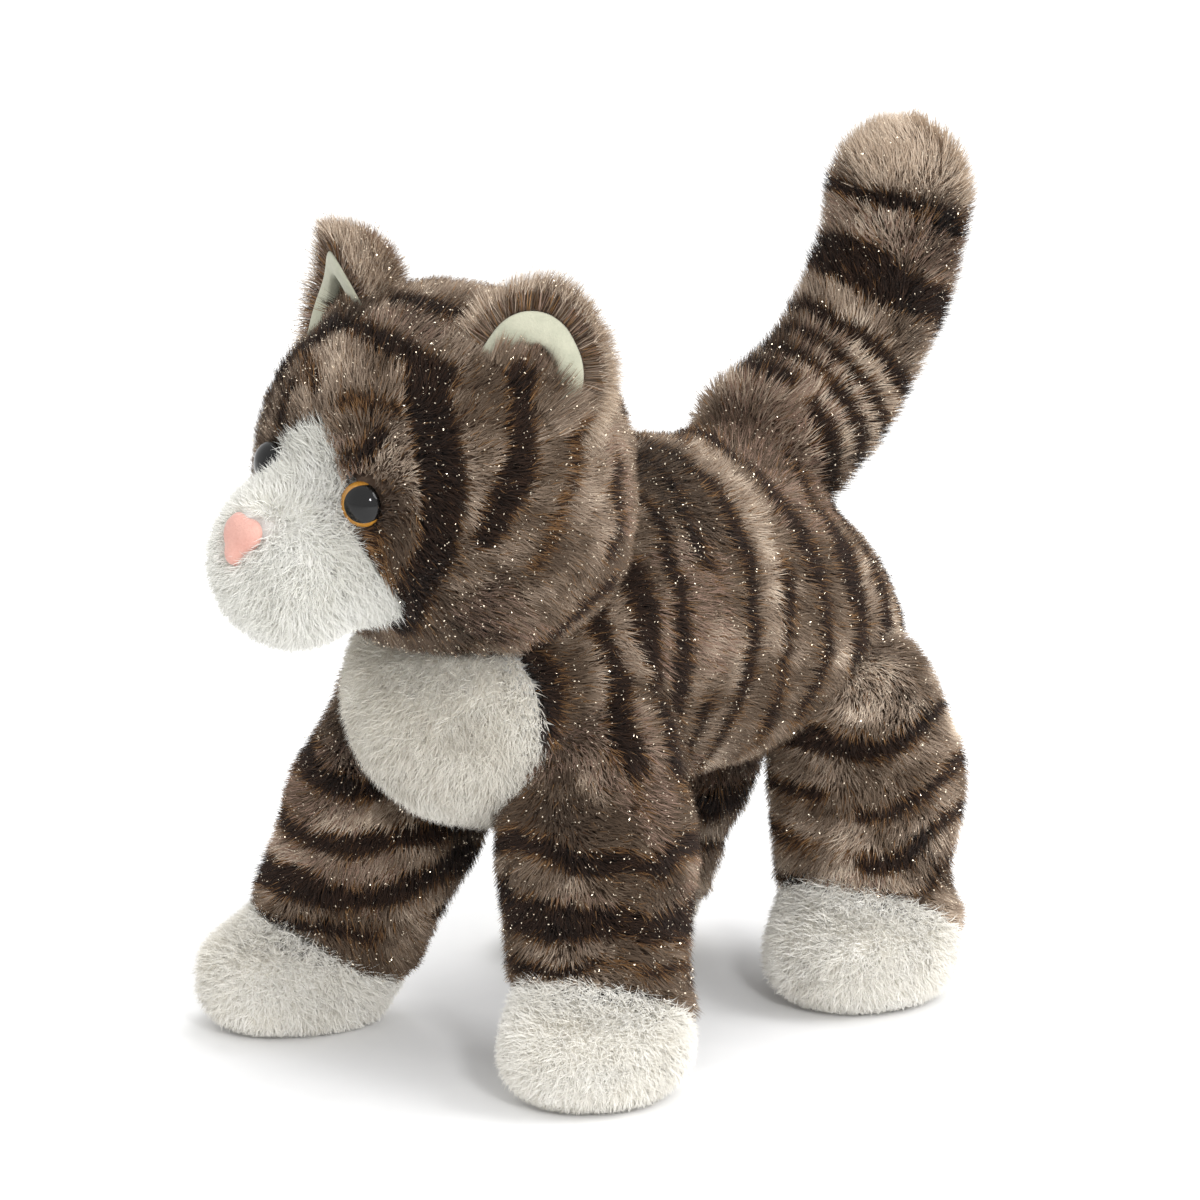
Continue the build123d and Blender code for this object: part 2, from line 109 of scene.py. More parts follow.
# painted shade: how much darker each leg's ground is, for how the light falls on that leg
LEG_PAINTED_SHADE = {"front_left": 2.2, "front_right": 1.2, "hind_left": 0.0, "hind_right": 0.8}
LEG_RADIUS = 23.0
CUFF = 19.5                # height of the seam between leg and paw
PAW_RADII = (25.0, 28.0, 13.5)
EYE_PLACES = {1: np.array([42.2, 19.0, 4.4]), -1: np.array([43.9, -15.4, 3.4])}     # in the head's own axes
TAIL_BEND = 74.0           # radius of the tail's bend
TAIL_ANGLES = (math.radians(20), math.radians(80.5))
TAIL_RADII = ((0, 0.15, 0.5, 1.0), (19.5, 18.2, 17.2, 17.0))     # share of the bend, radius there

CENTRE = PIVOT["head_nod"][1] + HEAD_FORWARD     # y of the cross plane at forward 0


# ---------------------------------------------------------------- small helpers
def unit(v):
    v = np.asarray(v, float)
    return v / np.maximum(np.linalg.norm(v, axis=-1, keepdims=True), 1e-9)


def step(x, lo, hi):
    t = np.clip((x - lo) / (hi - lo), 0, 1)
    return t * t * (3 - 2 * t)


def along(forward, left, up):
    return np.array([left, -forward, up], float)


ahead = along(math.cos(HEAD_TURN), -math.sin(HEAD_TURN), 0)
level = along(math.sin(HEAD_TURN), math.cos(HEAD_TURN), 0)
leftward = unit(level * math.cos(HEAD_TILT) - np.array([0, 0, math.sin(HEAD_TILT)]))
HEAD_AXES = np.array([ahead, leftward, np.cross(ahead, leftward)])
HEAD_CENTRE = PIVOT["head_nod"]


def in_head(p):
    return (p - HEAD_CENTRE) @ HEAD_AXES.T


def from_head(q):
    return np.asarray(q, float) @ HEAD_AXES + HEAD_CENTRE


LATTICE = np.random.default_rng(11).random((32, 32, 32)).astype(np.float32)


def noise(p, size, seed=0):
    """Smooth value noise from 0 to 1 with features of the given size."""
    q = p / size + np.array([seed * 7.31, seed * 3.77, seed * 5.13])
    base = np.floor(q).astype(np.int64)
    t = q - base
    t = t * t * (3 - 2 * t)
    total = 0
    for i in (0, 1):
        for j in (0, 1):
            for k in (0, 1):
                w = (t[..., 0] if i else 1 - t[..., 0]) * (t[..., 1] if j else 1 - t[..., 1])
                w = w * (t[..., 2] if k else 1 - t[..., 2])
                total = total + w * LATTICE[
                    (base[..., 0] + i) & 31, (base[..., 1] + j) & 31, (base[..., 2] + k) & 31]
    return total


def slope(p, size, seed=0):
    """Direction in which the noise grows, of length about 1."""
    e = size * 0.25
    here = noise(p, size, seed)
    parts = []
    for axis in range(3):
        d = np.zeros(3)
        d[axis] = e
        parts.append(noise(p + d, size, seed) - here)
    return np.stack(parts, -1) * 3.5


# ---------------------------------------------------------------- distance fields
def smin(a, b, k):
    h = np.clip(0.5 + 0.5 * (b - a) / k, 0, 1)
    return b + (a - b) * h - k * h * (1 - h)


def ball(p, centre, radius):
    return np.linalg.norm(p - centre, axis=-1) - radius


def oval(p, radii):
    radii = np.array(radii)
    k0 = np.linalg.norm(p / radii, axis=-1)
    k1 = np.linalg.norm(p / radii ** 2, axis=-1)
    return k0 * (k0 - 1) / np.maximum(k1, 1e-6)


def rod(p, a, b, ra, rb):
    ab = b - a
    t = np.clip(((p - a) @ ab) / (ab @ ab), 0, 1)
    return np.linalg.norm(p - a - t[..., None] * ab, axis=-1) - (ra + (rb - ra) * t)


def torso_table():
    """Centre height, squared half height and shape ratio along the torso, smoothed."""
    rows = np.array(sorted(TORSO_SECTIONS), float)
    f = np.arange(-125, 96, 1.0)
    c = np.interp(f, rows[:, 0], rows[:, 1])
    bb = np.interp(f, rows[:, 0], rows[:, 3] ** 2)
    ratio = np.interp(f, rows[:, 0], (rows[:, 3] / rows[:, 2]) ** 2)
    front, rear = f > rows[-1, 0], f < rows[0, 0]
    bb[front] = rows[-1, 3] ** 2 - 66.0 * (f[front] - rows[-1, 0])
    bb[rear] = rows[0, 3] ** 2 - 58.0 * (rows[0, 0] - f[rear])
    window = np.exp(-0.5 * (np.arange(-12, 13) / 5.0) ** 2)
    window /= window.sum()
    ease = lambda v: np.convolve(np.pad(v, 12, mode="reflect", reflect_type="odd"), window, "valid")
    return f, ease(c), ease(bb), ease(ratio)


TORSO_TABLE = torso_table()
TAIL_ROOT = PIVOT["tail_wag"]
TAIL_WAY = np.array([0.0, math.cos(TAIL_ANGLES[0]), math.sin(TAIL_ANGLES[0])])


def torso_field(p):
    f = CENTRE - p[..., 1]
    fs, c, bb, ratio = TORSO_TABLE
    centre, half2, shape = (np.interp(f, fs, v) for v in (c, bb, ratio))
    trunk = (p[..., 0] ** 2 * shape + (p[..., 2] - centre) ** 2 - half2) / (
        2 * np.sqrt(np.maximum(half2, 150.0)))
    return smin(trunk, rod(p, TAIL_ROOT - TAIL_WAY * 6, TAIL_ROOT + TAIL_WAY * 8, 15.0, 13.0), 16.0)


def head_field(p):
    q = in_head(p)
    skull = oval(q - np.array([0, 0, 0.5]), (HEAD_RADIUS, HEAD_RADIUS + 0.5, HEAD_RADIUS - 1))
    muzzle = oval(q - np.array(MUZZLE_CENTRE), MUZZLE_RADII)
    jowls = ball(q * [1, 0, 1] + np.abs(q) * [0, 1, 0], np.array(JOWL_CENTRE), JOWL_RADIUS)
    return smin(smin(skull, muzzle, 7.0), jowls, 9.0)


# the white face, left and up in the head's own axes, and how far forward it starts
FACE_FRONT = 27.5
FACE_OUTLINE = [(0, 17.5), (4.5, 15.5), (8.5, 11.5), (11.0, 6.5), (14.0, 0.5), (18.5, -6.0),
                (21.8, -13.0), (22.3, -19.0), (20.0, -26.0), (14.5, -33.0), (7.5, -38.5), (0, -41.0)]
FACE_OUTLINE = FACE_OUTLINE + [(-l, u) for l, u in FACE_OUTLINE[-2:0:-1]]


def outline_distance(x, y, outline):
    """Signed distance from an outline in its plane, negative inside."""
    best = np.full(x.shape, 1e9)
    inside = np.zeros(x.shape, bool)
    points = list(outline)
    for (ax, ay), (bx, by) in zip(points, points[1:] + points[:1]):
        ex, ey = bx - ax, by - ay
        t = np.clip(((x - ax) * ex + (y - ay) * ey) / (ex * ex + ey * ey), 0, 1)
        best = np.minimum(best, np.hypot(x - ax - t * ex, y - ay - t * ey))
        if ay != by:
            crosses = (ay > y) != (by > y)
            inside ^= crosses & (x < ax + (y - ay) * ex / ey)
    return np.where(inside, -best, best)


def white_face(p):
    """Negative where the face is white."""
    q = in_head(p)
    flat = outline_distance(q[..., 1], q[..., 2], FACE_OUTLINE)
    return np.maximum(flat, FACE_FRONT - q[..., 0])


# the white chest, left and up, and how far forward it starts
BIB_FRONT = 30.0
BIB_OUTLINE = [(0, 58.5), (10, 60.5), (19, 65.5), (26, 74.5), (30, 84.0), (30.5, 93), (28.5, 101),
               (23.5, 108), (14, 115), (0, 118)]
BIB_OUTLINE = BIB_OUTLINE + [(-l, u) for l, u in BIB_OUTLINE[-2:0:-1]]


def bib_region(p):
    """Negative on the white chest."""
    flat = outline_distance(p[..., 0], p[..., 2], BIB_OUTLINE)
    return np.maximum(flat, BIB_FRONT - (CENTRE - p[..., 1]))


def leg_points(name):
    hip = PIVOT[name + "_leg_swing"]
    (forward, left), radius, paw, rings, *_ = LEGS[name]
    foot = np.array([left, CENTRE - forward, 0.0])
    down = unit(foot - hip)
    return hip, foot, down, radius, paw, rings


def leg_field(p, name):
    hip, foot, down, radius, size, _ = leg_points(name)
    end = foot - down * 20.0
    leg = rod(p, hip, end, radius, LEG_RADIUS - 0.5)
    leg = smin(leg, ball(p, hip * 0.62 + end * 0.38 + [0, LEGS[name][4], 0], LEG_RADIUS), 8.0)
    q = p - foot - np.array([0, -3.5, PAW_RADII[2]])
    wide, long = PAW_RADII[0] * size, PAW_RADII[1] * size
    flat = (np.hypot(q[..., 0] / wide, q[..., 1] / long) - 1) * wide
    round_ = np.where(q[..., 2] > 0, 12.5, 10.5)
    a = flat + round_
    b = np.abs(q[..., 2]) - PAW_RADII[2] + round_
    paw = np.hypot(np.maximum(a, 0), np.maximum(b, 0)) + np.minimum(np.maximum(a, b), 0) - round_
    return smin(leg, paw, 6.0)


def cuff_side(p, name):
    """Positive above the cuff, negative on the paw."""
    hip, foot, down, *_ = leg_points(name)
    return (foot - down * (CUFF / -down[2]) - p) @ down + LEGS[name][5] * (p[..., 1] - foot[1])


TAIL_MIDDLE = (CENTRE - TAIL_ROOT[1] + TAIL_BEND * math.sin(TAIL_ANGLES[0]),
               TAIL_ROOT[2] + TAIL_BEND * math.cos(TAIL_ANGLES[0]))


def tail_place(p):
    """Nearest angle on the tail's bend, and the distance from its centre line."""
    f, u = CENTRE - p[..., 1], p[..., 2]
    angle = np.arctan2(TAIL_MIDDLE[0] - f, TAIL_MIDDLE[1] - u)
    angle = np.where(angle < -1.0, angle + 2 * math.pi, angle)
    near = np.clip(angle, *TAIL_ANGLES)
    cf = TAIL_MIDDLE[0] - TAIL_BEND * np.sin(near)
    cu = TAIL_MIDDLE[1] - TAIL_BEND * np.cos(near)
    return angle, near, np.sqrt((f - cf) ** 2 + (u - cu) ** 2 + p[..., 0] ** 2)


def tail_field(p):
    _, near, d = tail_place(p)
    share = (near - TAIL_ANGLES[0]) / (TAIL_ANGLES[1] - TAIL_ANGLES[0])
    return d - np.interp(share, *TAIL_RADII)


# ---------------------------------------------------------------- meshes
def lattice(lo, hi, h):
    n = np.ceil((np.array(hi) - lo) / h).astype(int) + 1
    axes = [lo[k] + h * np.arange(n[k]) for k in range(3)]
    return np.stack(np.meshgrid(*axes, indexing="ij"), -1)


def surface(field, lo, hi, h, inset):
    """Quads of a field's surface, drawn in by an inset."""
    lo = np.array(lo, float)
    p = lattice(lo, hi, h)
    f = field(p)
    grad = np.stack(np.gradient(f, h), -1)
    f = f / np.maximum(np.linalg.norm(grad, axis=-1), 0.3) + inset
    grid = openvdb.FloatGrid()
    grid.background = 3 * h
    grid.copyFromArray(np.ascontiguousarray(np.clip(f, -3 * h, 3 * h), dtype=np.float32))
    points, quads = grid.convertToQuads(isovalue=0.0)
    return points * h + lo, quads.astype(np.int64)[:, ::-1]


def facing(points, quads):
    """Unit vertex normals that point away from the inside, and each quad's area."""
    a, b, c, d = (points[quads[:, k]] for k in range(4))
    cross = np.cross(c - a, d - b)
    normals = np.zeros_like(points)
    for k in range(4):
        np.add.at(normals, quads[:, k], cross)
    return unit(normals), np.linalg.norm(cross, axis=1) / 2


def make(name, points, faces, materials, face_slots=None, values=None, smooth=True, normals=None):
    """A mesh object from points in millimetres, with optional per-point values for its material."""
    mesh = bpy.data.meshes.new(name)
    if isinstance(faces, tuple):
        loops, starts = faces
        mesh.vertices.add(len(points))
        mesh.vertices.foreach_set("co", (points * MM).astype(np.float32).ravel())
        mesh.loops.add(len(loops))
        mesh.loops.foreach_set("vertex_index", loops.astype(np.int32))
        mesh.polygons.add(len(starts))
        mesh.polygons.foreach_set("loop_start", starts.astype(np.int32))
        mesh.update(calc_edges=True)
    else:
        mesh.from_pydata((points * MM).tolist(), [], [tuple(int(v) for v in f) for f in faces])
    mesh.polygons.foreach_set("use_smooth", np.full(len(mesh.polygons), smooth))
    for m in materials:
        mesh.materials.append(m)
    if face_slots is not None:
        mesh.polygons.foreach_set("material_index", face_slots.astype(np.int32))
    for key, v in (values or {}).items():
        mesh.attributes.new(key, "FLOAT", "POINT").data.foreach_set("value", v.astype(np.float32))
    if normals is not None:
        mesh.normals_split_custom_set_from_vertices(normals.astype(np.float32))
    piece = bpy.data.objects.new(name, mesh)
    bpy.context.scene.collection.objects.link(piece)
    return piece


# ---------------------------------------------------------------- colours
def linear(r, g, b):
    """A colour given as sRGB bytes, in the linear values that Blender takes."""
    return *((c / 255 / 12.92 if c < 11 else ((c / 255 + 0.055) / 1.055) ** 2.4) for c in (r, g, b)), 1


def plain(name, colour, rough=0.75, sheen=0.25, metal=0.0, gloss=0.5):
    m = bpy.data.materials.new(name)
    m.use_nodes = True
    s = m.node_tree.nodes["Principled BSDF"].inputs
    s["Base Color"].default_value = linear(*colour)
    s["Roughness"].default_value = rough
    s["Metallic"].default_value = metal
    s["Specular IOR Level"].default_value = gloss
    s["Sheen Weight"].default_value = sheen
    s["Sheen Roughness"].default_value = 0.5
    return m


# tabby pile: 0-5 ground from light to deep, 6 rosy, 7 deepest ground, 8-10 brown edges, 11-14 dark
# stripes, and the glints come last
TABBY = [(220, 203, 183), (194, 175, 155), (167, 148, 130), (143, 124, 106), (119, 101, 84), (97, 80, 65),
         (154, 127, 111), (78, 61, 48),
         (122, 88, 54), (92, 62, 36), (146, 110, 72),
         (44, 28, 18), (32, 20, 13), (56, 37, 25), (22, 14, 10)]
TABBY_MATERIALS = [plain(f"pile_tabby_{i}", c, sheen=0.04, gloss=0.3) for i, c in enumerate(TABBY)]
TABBY_MATERIALS.append(plain("pile_glint", (255, 240, 215), 0.3, 0.0, 1.0))
WHITE = [(248, 247, 242), (244, 243, 237), (239, 238, 231), (234, 232, 224)]
CREAM = [(246, 243, 234), (240, 236, 226), (233, 228, 217), (224, 218, 206)]
PAW = [(255, 253, 247), (253, 250, 243), (250, 247, 239), (247, 243, 234)]
WHITE_MATERIALS = [plain(f"pile_white_{i}", c) for i, c in enumerate(WHITE)]
PAW_MATERIALS = [plain(f"pile_paw_{i}", c) for i, c in enumerate(PAW)]
CREAM_MATERIALS = [plain(f"pile_cream_{i}", c) for i, c in enumerate(CREAM)]

# ---------------------------------------------------------------- markings
# stripes on the head: points (forward, left, up), half width, strength, whether the other side has it too
HEAD_STROKES = [
    ([(22, -26, 33), (26, -14, 37), (27, -2, 38), (27, 7, 38), (26, 15, 36), (23, 21, 35)], 2.9, 1.0, False),
    ([(28, 20, 32), (30, 25, 26), (30, 30, 19), (30, 34, 12), (31, 35, 4), (32, 34, -4), (33, 31, -13),
      (32, 26, -22), (29, 21, -30)], 4.2, 1.0, True),
    ([(7, 32, 34), (9, 37, 28), (11, 40, 22), (14, 42, 15), (18, 42, 9), (22, 42, 1)], 3.0, 1.0, True),
    ([(-5, 41, 22), (-2, 45, 14), (3, 46, 7), (6, 47, -2), (9, 45, -9)], 1.9, 0.6, True),
    ([(-20, 41, 12), (-18, 43, 6), (-19, 43, -3), (-16, 43, -8)], 1.9, 1.0, True),
    ([(-18, 40, -17), (-10, 40, -23), (-6, 35, -31), (-6, 25, -39), (0, 25, -40)], 2.3, 1.0, True),
    ([(12, -14, 43), (11, -2, 46), (9, 7, 45), (6, 14, 44)], 2.4, 0.95, False),
    ([(40, 6, 25), (37, 12, 26), (34, 17, 27)], 1.8, 0.6, True),
    ([(39, 17, 21), (41, 16, 16), (43, 13, 13)], 2.0, 0.9, True),
    ([(42, 21, -2), (39, 23, -11), (36, 23, -21)], 2.0, 0.6, True),
    ([(-14, -18, 41), (-16, 0, 44), (-14, 18, 41)], 2.6, 0.95, False),
    ([(-32, -26, 22), (-36, 0, 30), (-32, 26, 22)], 2.7, 0.95, False),
    ([(-38, -26, 6), (-45, 0, 12), (-38, 26, 6)], 2.5, 0.95, False),
    ([(-36, -28, -9), (-46, 0, -6), (-36, 28, -9)], 2.4, 0.95, False),
]


def stroke_distance(q, points):
    best = np.full(q.shape[:-1], 1e9)
    for a, b in zip(points, points[1:]):
        best = np.minimum(best, rod(q, np.array(a, float), np.array(b, float), 0, 0))
    return best


STROKE_RADIUS = 46.0       # of the sphere on which the head's stripes are drawn


def head_dark(p):
    q = in_head(p)
    q = unit(q) * STROKE_RADIUS + (slope(q, 14.0, 3) * 1.2)
    wide = 0.9 + 0.6 * noise(q, 11.0, 5)
    dark = np.zeros(q.shape[:-1])
    for points, half, strength, both in HEAD_STROKES:
        for side in ((1, -1) if both else (1,)):
            line = unit(np.array(points, float) * [1, side, 1]) * STROKE_RADIUS
            d = stroke_distance(q, line)
            dark = np.maximum(dark, strength * (1 - step(d, half * wide - 1.2, half * wide + 1.4)))
    return dark


def ring_dark(s, p, spacing, half, seed):
    """Rings every spacing along s, wavy, of uneven width and broken here and there."""
    s = s + 15.0 * (noise(p, 30.0, seed) - 0.5) + 6.5 * (noise(p, 11.0, seed + 1) - 0.5)
    d = np.abs(s / spacing - np.round(s / spacing)) * spacing
    width = half * (0.4 + 1.25 * noise(p, 20.0, seed + 2))
    solid = step(noise(p, 15.0, seed + 3), 0.2, 0.36)
    return (1 - step(d, width - 1.3, width + 1.4)) * solid


TORSO_RING_SPACING = 13.5
TORSO_RING_HALF = 3.2


def torso_dark(p):
    f = CENTRE - p[..., 1]
    s = f + 0.10 * (p[..., 2] - 100) + 0.06 * np.abs(p[..., 0])
    return ring_dark(s, p * [1, 1, 0.6], TORSO_RING_SPACING, TORSO_RING_HALF, 21) * step(p[..., 2], 60, 72)


def leg_dark(p, name):
    _, foot, *_, rings = leg_points(name)
    up = p[..., 2] + 5.0 * (noise(p, 22.0, 31) - 0.5) * 2 + 1.5 * (noise(p, 8.0, 33) - 0.5) * 2
    up = up + 0.10 * (foot[1] - p[..., 1])
    dark = np.zeros(p.shape[:-1])
    for i, (height, middle) in enumerate(rings):
        half = middle * (0.55 + 0.9 * noise(p, 18.0, 37 + i))
        gap = step(noise(p, 15.0, 41 + i) + 0.05 * middle, 0.27, 0.41)
        dark = np.maximum(dark, gap * (1 - step(np.abs(up - height), half - 1.3, half + 1.5)))
    if name.startswith("front"):
        dark = np.maximum(dark, torso_dark(p) * step(p[..., 2], 66, 80))
    return dark


# place along the bend, half width
TAIL_RINGS = [(27, 2.8), (38, 3.3), (48.5, 2.5), (59, 2.8), (76.5, 6.0), (98, 2.9)]


def tail_dark(p):
    angle, _, _ = tail_place(p)
    s = angle * TAIL_BEND + 0.22 * p[..., 0]
    s = s + 9.0 * (noise(p, 22.0, 51) - 0.5) + 3.0 * (noise(p, 8.0, 52) - 0.5)
    dark = np.zeros(p.shape[:-1])
    for i, (place, half) in enumerate(TAIL_RINGS):
        width = half * (0.7 + 0.6 * noise(p, 14.0, 53 + i))
        dark = np.maximum(dark, 1 - step(np.abs(s - place), width - 1.2, width + 1.3))
    return dark * step(noise(p, 13.0, 59), 0.1, 0.22)


# ---------------------------------------------------------------- procedural materials of the skins
def nodes_for(name, rough=0.85, sheen=0.2):
    m = bpy.data.materials.new(name)
    m.use_nodes = True
    nodes, links = m.node_tree.nodes, m.node_tree.links
    shader = nodes["Principled BSDF"]
    shader.inputs["Roughness"].default_value = rough
    shader.inputs["Sheen Weight"].default_value = sheen
    return m, nodes, links, shader


def add(nodes, kind, **settings):
    n = nodes.new(kind)
    for key, value in settings.items():
        if key in n.inputs:
            n.inputs[key].default_value = value
        else:
            setattr(n, key, value)
    return n


def mix(nodes, links, factor, a, b):
    n = nodes.new("ShaderNodeMix")
    n.data_type = "RGBA"
    for socket, value in ((n.inputs[0], factor), (n.inputs[6], a), (n.inputs[7], b)):
        if isinstance(value, bpy.types.NodeSocket):
            links.new(value, socket)
        else:
            socket.default_value = value
    return n.outputs[2]


def fabric(name, light, deep, size=900.0, stripe=None, bump=0.15, rough=0.85, sheen=0.2):
    """Woven or knitted cloth: two shades mottled at two scales, fine threads in the bump."""
    m, nodes, links, shader = nodes_for(name, rough, sheen)
    place = nodes.new("ShaderNodeTexCoord").outputs["Object"]
    fine = add(nodes, "ShaderNodeTexNoise", Scale=size, Detail=3.0)
    broad = add(nodes, "ShaderNodeTexNoise", Scale=size / 7, Detail=4.0)
    thread = add(nodes, "ShaderNodeTexVoronoi", Scale=size * 1.6)
    for n in (fine, broad, thread):
        links.new(place, n.inputs["Vector"])
    blend = add(nodes, "ShaderNodeMath", operation="MULTIPLY_ADD")
    links.new(fine.outputs[0], blend.inputs[0])
    blend.inputs[1].default_value = 0.5
    links.new(broad.outputs[0], blend.inputs[2])
    ramp = add(nodes, "ShaderNodeMapRange")
    ramp.inputs["From Min"].default_value = 0.45
    ramp.inputs["From Max"].default_value = 1.0
    links.new(blend.outputs[0], ramp.inputs[0])
    colour = mix(nodes, links, ramp.outputs[0], linear(*deep), linear(*light))
    if stripe:
        mark = add(nodes, "ShaderNodeAttribute", attribute_name="dark")
        colour = mix(nodes, links, mark.outputs["Fac"], colour, linear(*stripe))
    links.new(colour, shader.inputs["Base Color"])
    relief = add(nodes, "ShaderNodeBump", Strength=bump, Distance=0.0004)
    links.new(thread.outputs["Distance"], relief.inputs["Height"])
    links.new(relief.outputs[0], shader.inputs["Normal"])
    return m


SKIN_TABBY = fabric("skin_tabby", (104, 84, 68), (74, 56, 43), stripe=(30, 19, 13), sheen=0.05)
SKIN_WHITE = fabric("skin_white", (244, 243, 240), (222, 220, 216))
SKIN_CREAM = fabric("skin_cream", (246, 243, 235), (234, 229, 219))
EAR_CLOTH = fabric("ear_velour", (192, 191, 170), (170, 171, 151), size=1500.0, bump=0.25, sheen=0.2)
NOSE_CLOTH = fabric("nose_velour", (222, 172, 158), (204, 150, 137), size=1500.0, bump=0.3, sheen=0.2)
FIBRE = fabric("fibre_fill", (246, 246, 244), (228, 228, 226), size=500.0, bump=0.5)
BEANS = fabric("bean_fill", (238, 236, 230), (214, 212, 205), size=350.0, bump=0.6, rough=0.4, sheen=0.0)
FILL_STEP = 3.0            # grid step of the fillings' surfaces
FILL_INSET = 3.0           # from the skin to the filling inside it


def filling(name, field, lo, hi, material, node):
    """The filling of a skin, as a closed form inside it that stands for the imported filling."""
    points, quads = surface(field, lo, hi, FILL_STEP, PILE + FILL_INSET)
    piece = make(name, points, quads, [material])
    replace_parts(piece, node)
    return piece


# ---------------------------------------------------------------- pile
def scatter(points, quads, per_mm2, rng, keep=None):
    """Random places on quads: position and normal, only where keep says so."""
    normals, area = facing(points, quads)
    if np.einsum("ij,ij->i", normals, points - points.mean(0)).mean() < 0:
        normals = -normals
    count = int(area.sum() * per_mm2)
    pick = np.searchsorted(np.cumsum(area), rng.random(count) * area.sum())
    pick = np.minimum(pick, len(quads) - 1)
    u, v = rng.random(count)[:, None], rng.random(count)[:, None]
    q = quads[pick]
    weights = [(1 - u) * (1 - v), u * (1 - v), u * v, (1 - u) * v]
    p = sum(w * points[q[:, k]] for k, w in enumerate(weights))
    n = unit(sum(w * normals[q[:, k]] for k, w in enumerate(weights)))
    if keep is not None:
        good = keep(p)
        p, n = p[good], n[good]
    return p, n


def ride_all(pieces, body):
    for piece in pieces:
        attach(piece, body)


MOST_BLADES = 60000        # in one mesh


def pile(name, p, n, flow, length, materials, low, high, rng, **more):
    """Pile on p as one mesh, or as several side by side where there are many blades."""
    parts = math.ceil(len(p) / MOST_BLADES)
    length = np.broadcast_to(length, len(p))
    if parts < 2:
        return [blades(name, p, n, flow, length, materials, low, high, rng, **more)]
    key = p[:, int(np.argmax(np.ptp(p, axis=0)))]
    pieces = []
    for k, chosen in enumerate(np.array_split(np.argsort(key, kind="stable"), parts)):
        pieces.append(blades(f"{name}_{k + 1}", p[chosen], n[chosen], flow[chosen], length[chosen], materials,
                             low[chosen], high[chosen], rng, **more))
    return pieces


def blades(name, p, n, flow, length, materials, low, high, rng, lean=1.0, clump=0.85, width=0.28, glint=None,
           floor=None, soft=0.3, stray=0.28):
    """Tapered blades standing on p: three levels each, tips gathered in small tufts."""
    count = len(p)
    f = unit(flow - np.einsum("ij,ij->i", flow, n)[:, None] * n)
    b = np.cross(n, f)
    turn = (1.1 * (noise(p, 26.0, 61) - 0.5) * 2 + 0.9 * (noise(p, 9.0, 62) - 0.5) * 2
            + rng.normal(0, stray, count))[:, None]
    f = np.cos(turn) * f + np.sin(turn) * b
    size = (length * (0.78 + 0.44 * rng.random(count)) * (0.88 + 0.24 * noise(p, 7.0, 63)))[:, None]
    tilt = (lean * (0.75 + 0.5 * rng.random(count)))[:, None]
    d1 = unit(n + 0.45 * tilt * f)
    d2 = unit(n * 0.75 + 1.0 * tilt * f)
    pull = slope(p, 3.4, 64) * clump + slope(p, 1.7, 65) * clump * 0.35
    pull -= np.einsum("ij,ij->i", pull, n)[:, None] * n
    p1 = p + d1 * size * 0.5 + 0.3 * pull + rng.normal(0, 0.1, (count, 3))
    p2 = p1 + d2 * size * 0.5 + 0.7 * pull + rng.normal(0, 0.22, (count, 3))
    p0 = p - n * 0.4
    side = unit(np.cross(d2, n + rng.normal(0, 0.3, (count, 3)))) * (width / 2)
    side = side * (0.8 + 0.4 * rng.random(count))[:, None]
    points = np.stack([p0 - side, p0 + side, p1 + side * 0.85, p1 - side * 0.85, p2], 1).reshape(-1, 3)
    own = unit(np.cross(side, p1 - p0))
    shading = np.repeat(unit(soft * n + (1 - soft) * own), 5, axis=0)
    start = np.arange(count)[:, None] * 5
    loops = (start + np.array([0, 1, 2, 3, 3, 2, 4])).ravel()
    starts = (np.arange(count)[:, None] * 7 + np.array([0, 4])).ravel()
    slots = np.stack([low, high], 1).ravel()
    if glint:
        few = rng.random(count) < glint
        k = int(few.sum())
        c = p2[few] * 0.75 + p1[few] * 0.25
        u1 = unit(rng.normal(0, 1, (k, 3)))
        u2 = unit(np.cross(u1, rng.normal(0, 1, (k, 3))))
        g = 0.2 + 0.12 * rng.random(k)[:, None]
        extra = np.stack([c - u1 * g, c + u2 * g * 0.5, c + u1 * g, c - u2 * g * 0.5], 1).reshape(-1, 3)
        shading = np.concatenate([shading, np.repeat(unit(np.cross(u2, u1)), 4, axis=0)])
        base, first = len(points), len(loops)
        points = np.concatenate([points, extra])
        loops = np.concatenate([loops, base + np.arange(4 * k)])
        starts = np.concatenate([starts, first + 4 * np.arange(k)])
        slots = np.concatenate([slots, np.full(k, len(materials) - 1)])
    if floor is not None:
        points[:, 2] = np.maximum(points[:, 2], floor)
    return make(name, points, (loops, starts), materials, slots, normals=shading)


def tabby_slots(p, dark, rng, painted_shade=0.0):
    """Lower and upper colour of each blade: heathered ground, brown edges, dark stripes, and a painted shade
    that shifts the ground darker.
    """
    count = len(p)
    grain = noise(p, 4.0, 71) * 0.4 + noise(p, 12.0, 72) * 0.7 + rng.random(count) * 0.2
    # painted shade: the ground moves this many steps darker where less light falls, and lighter (painted
    # light) for negative values
    ground = np.clip(((grain - 0.31) * 9.5 - painted_shade).astype(int), 0, 5)
    rosy = (noise(p, 19.0, 73) > 0.66) & (rng.random(count) < 0.35)
    high = np.where(rosy, 6, 5 - ground)
    # the lower part of each blade two steps deeper: partly the fibres' own darker roots, partly painted shade
    # deep in the pile
    low = np.where(high + 2 > 5, 7, high + 2)
    value = dark + rng.normal(0, 0.18, count)
    edge = (value > 0.3) & (value <= 0.62)
    high = np.where(edge, 8 + rng.integers(0, 3, count), high)
    low = np.where(edge, 9, low)
    deep = value > 0.62
    high = np.where(deep, 11 + rng.integers(0, 3, count), high)
    low = np.where(deep, np.where(rng.random(count) < 0.5, 12, 14), low)
    return low, high


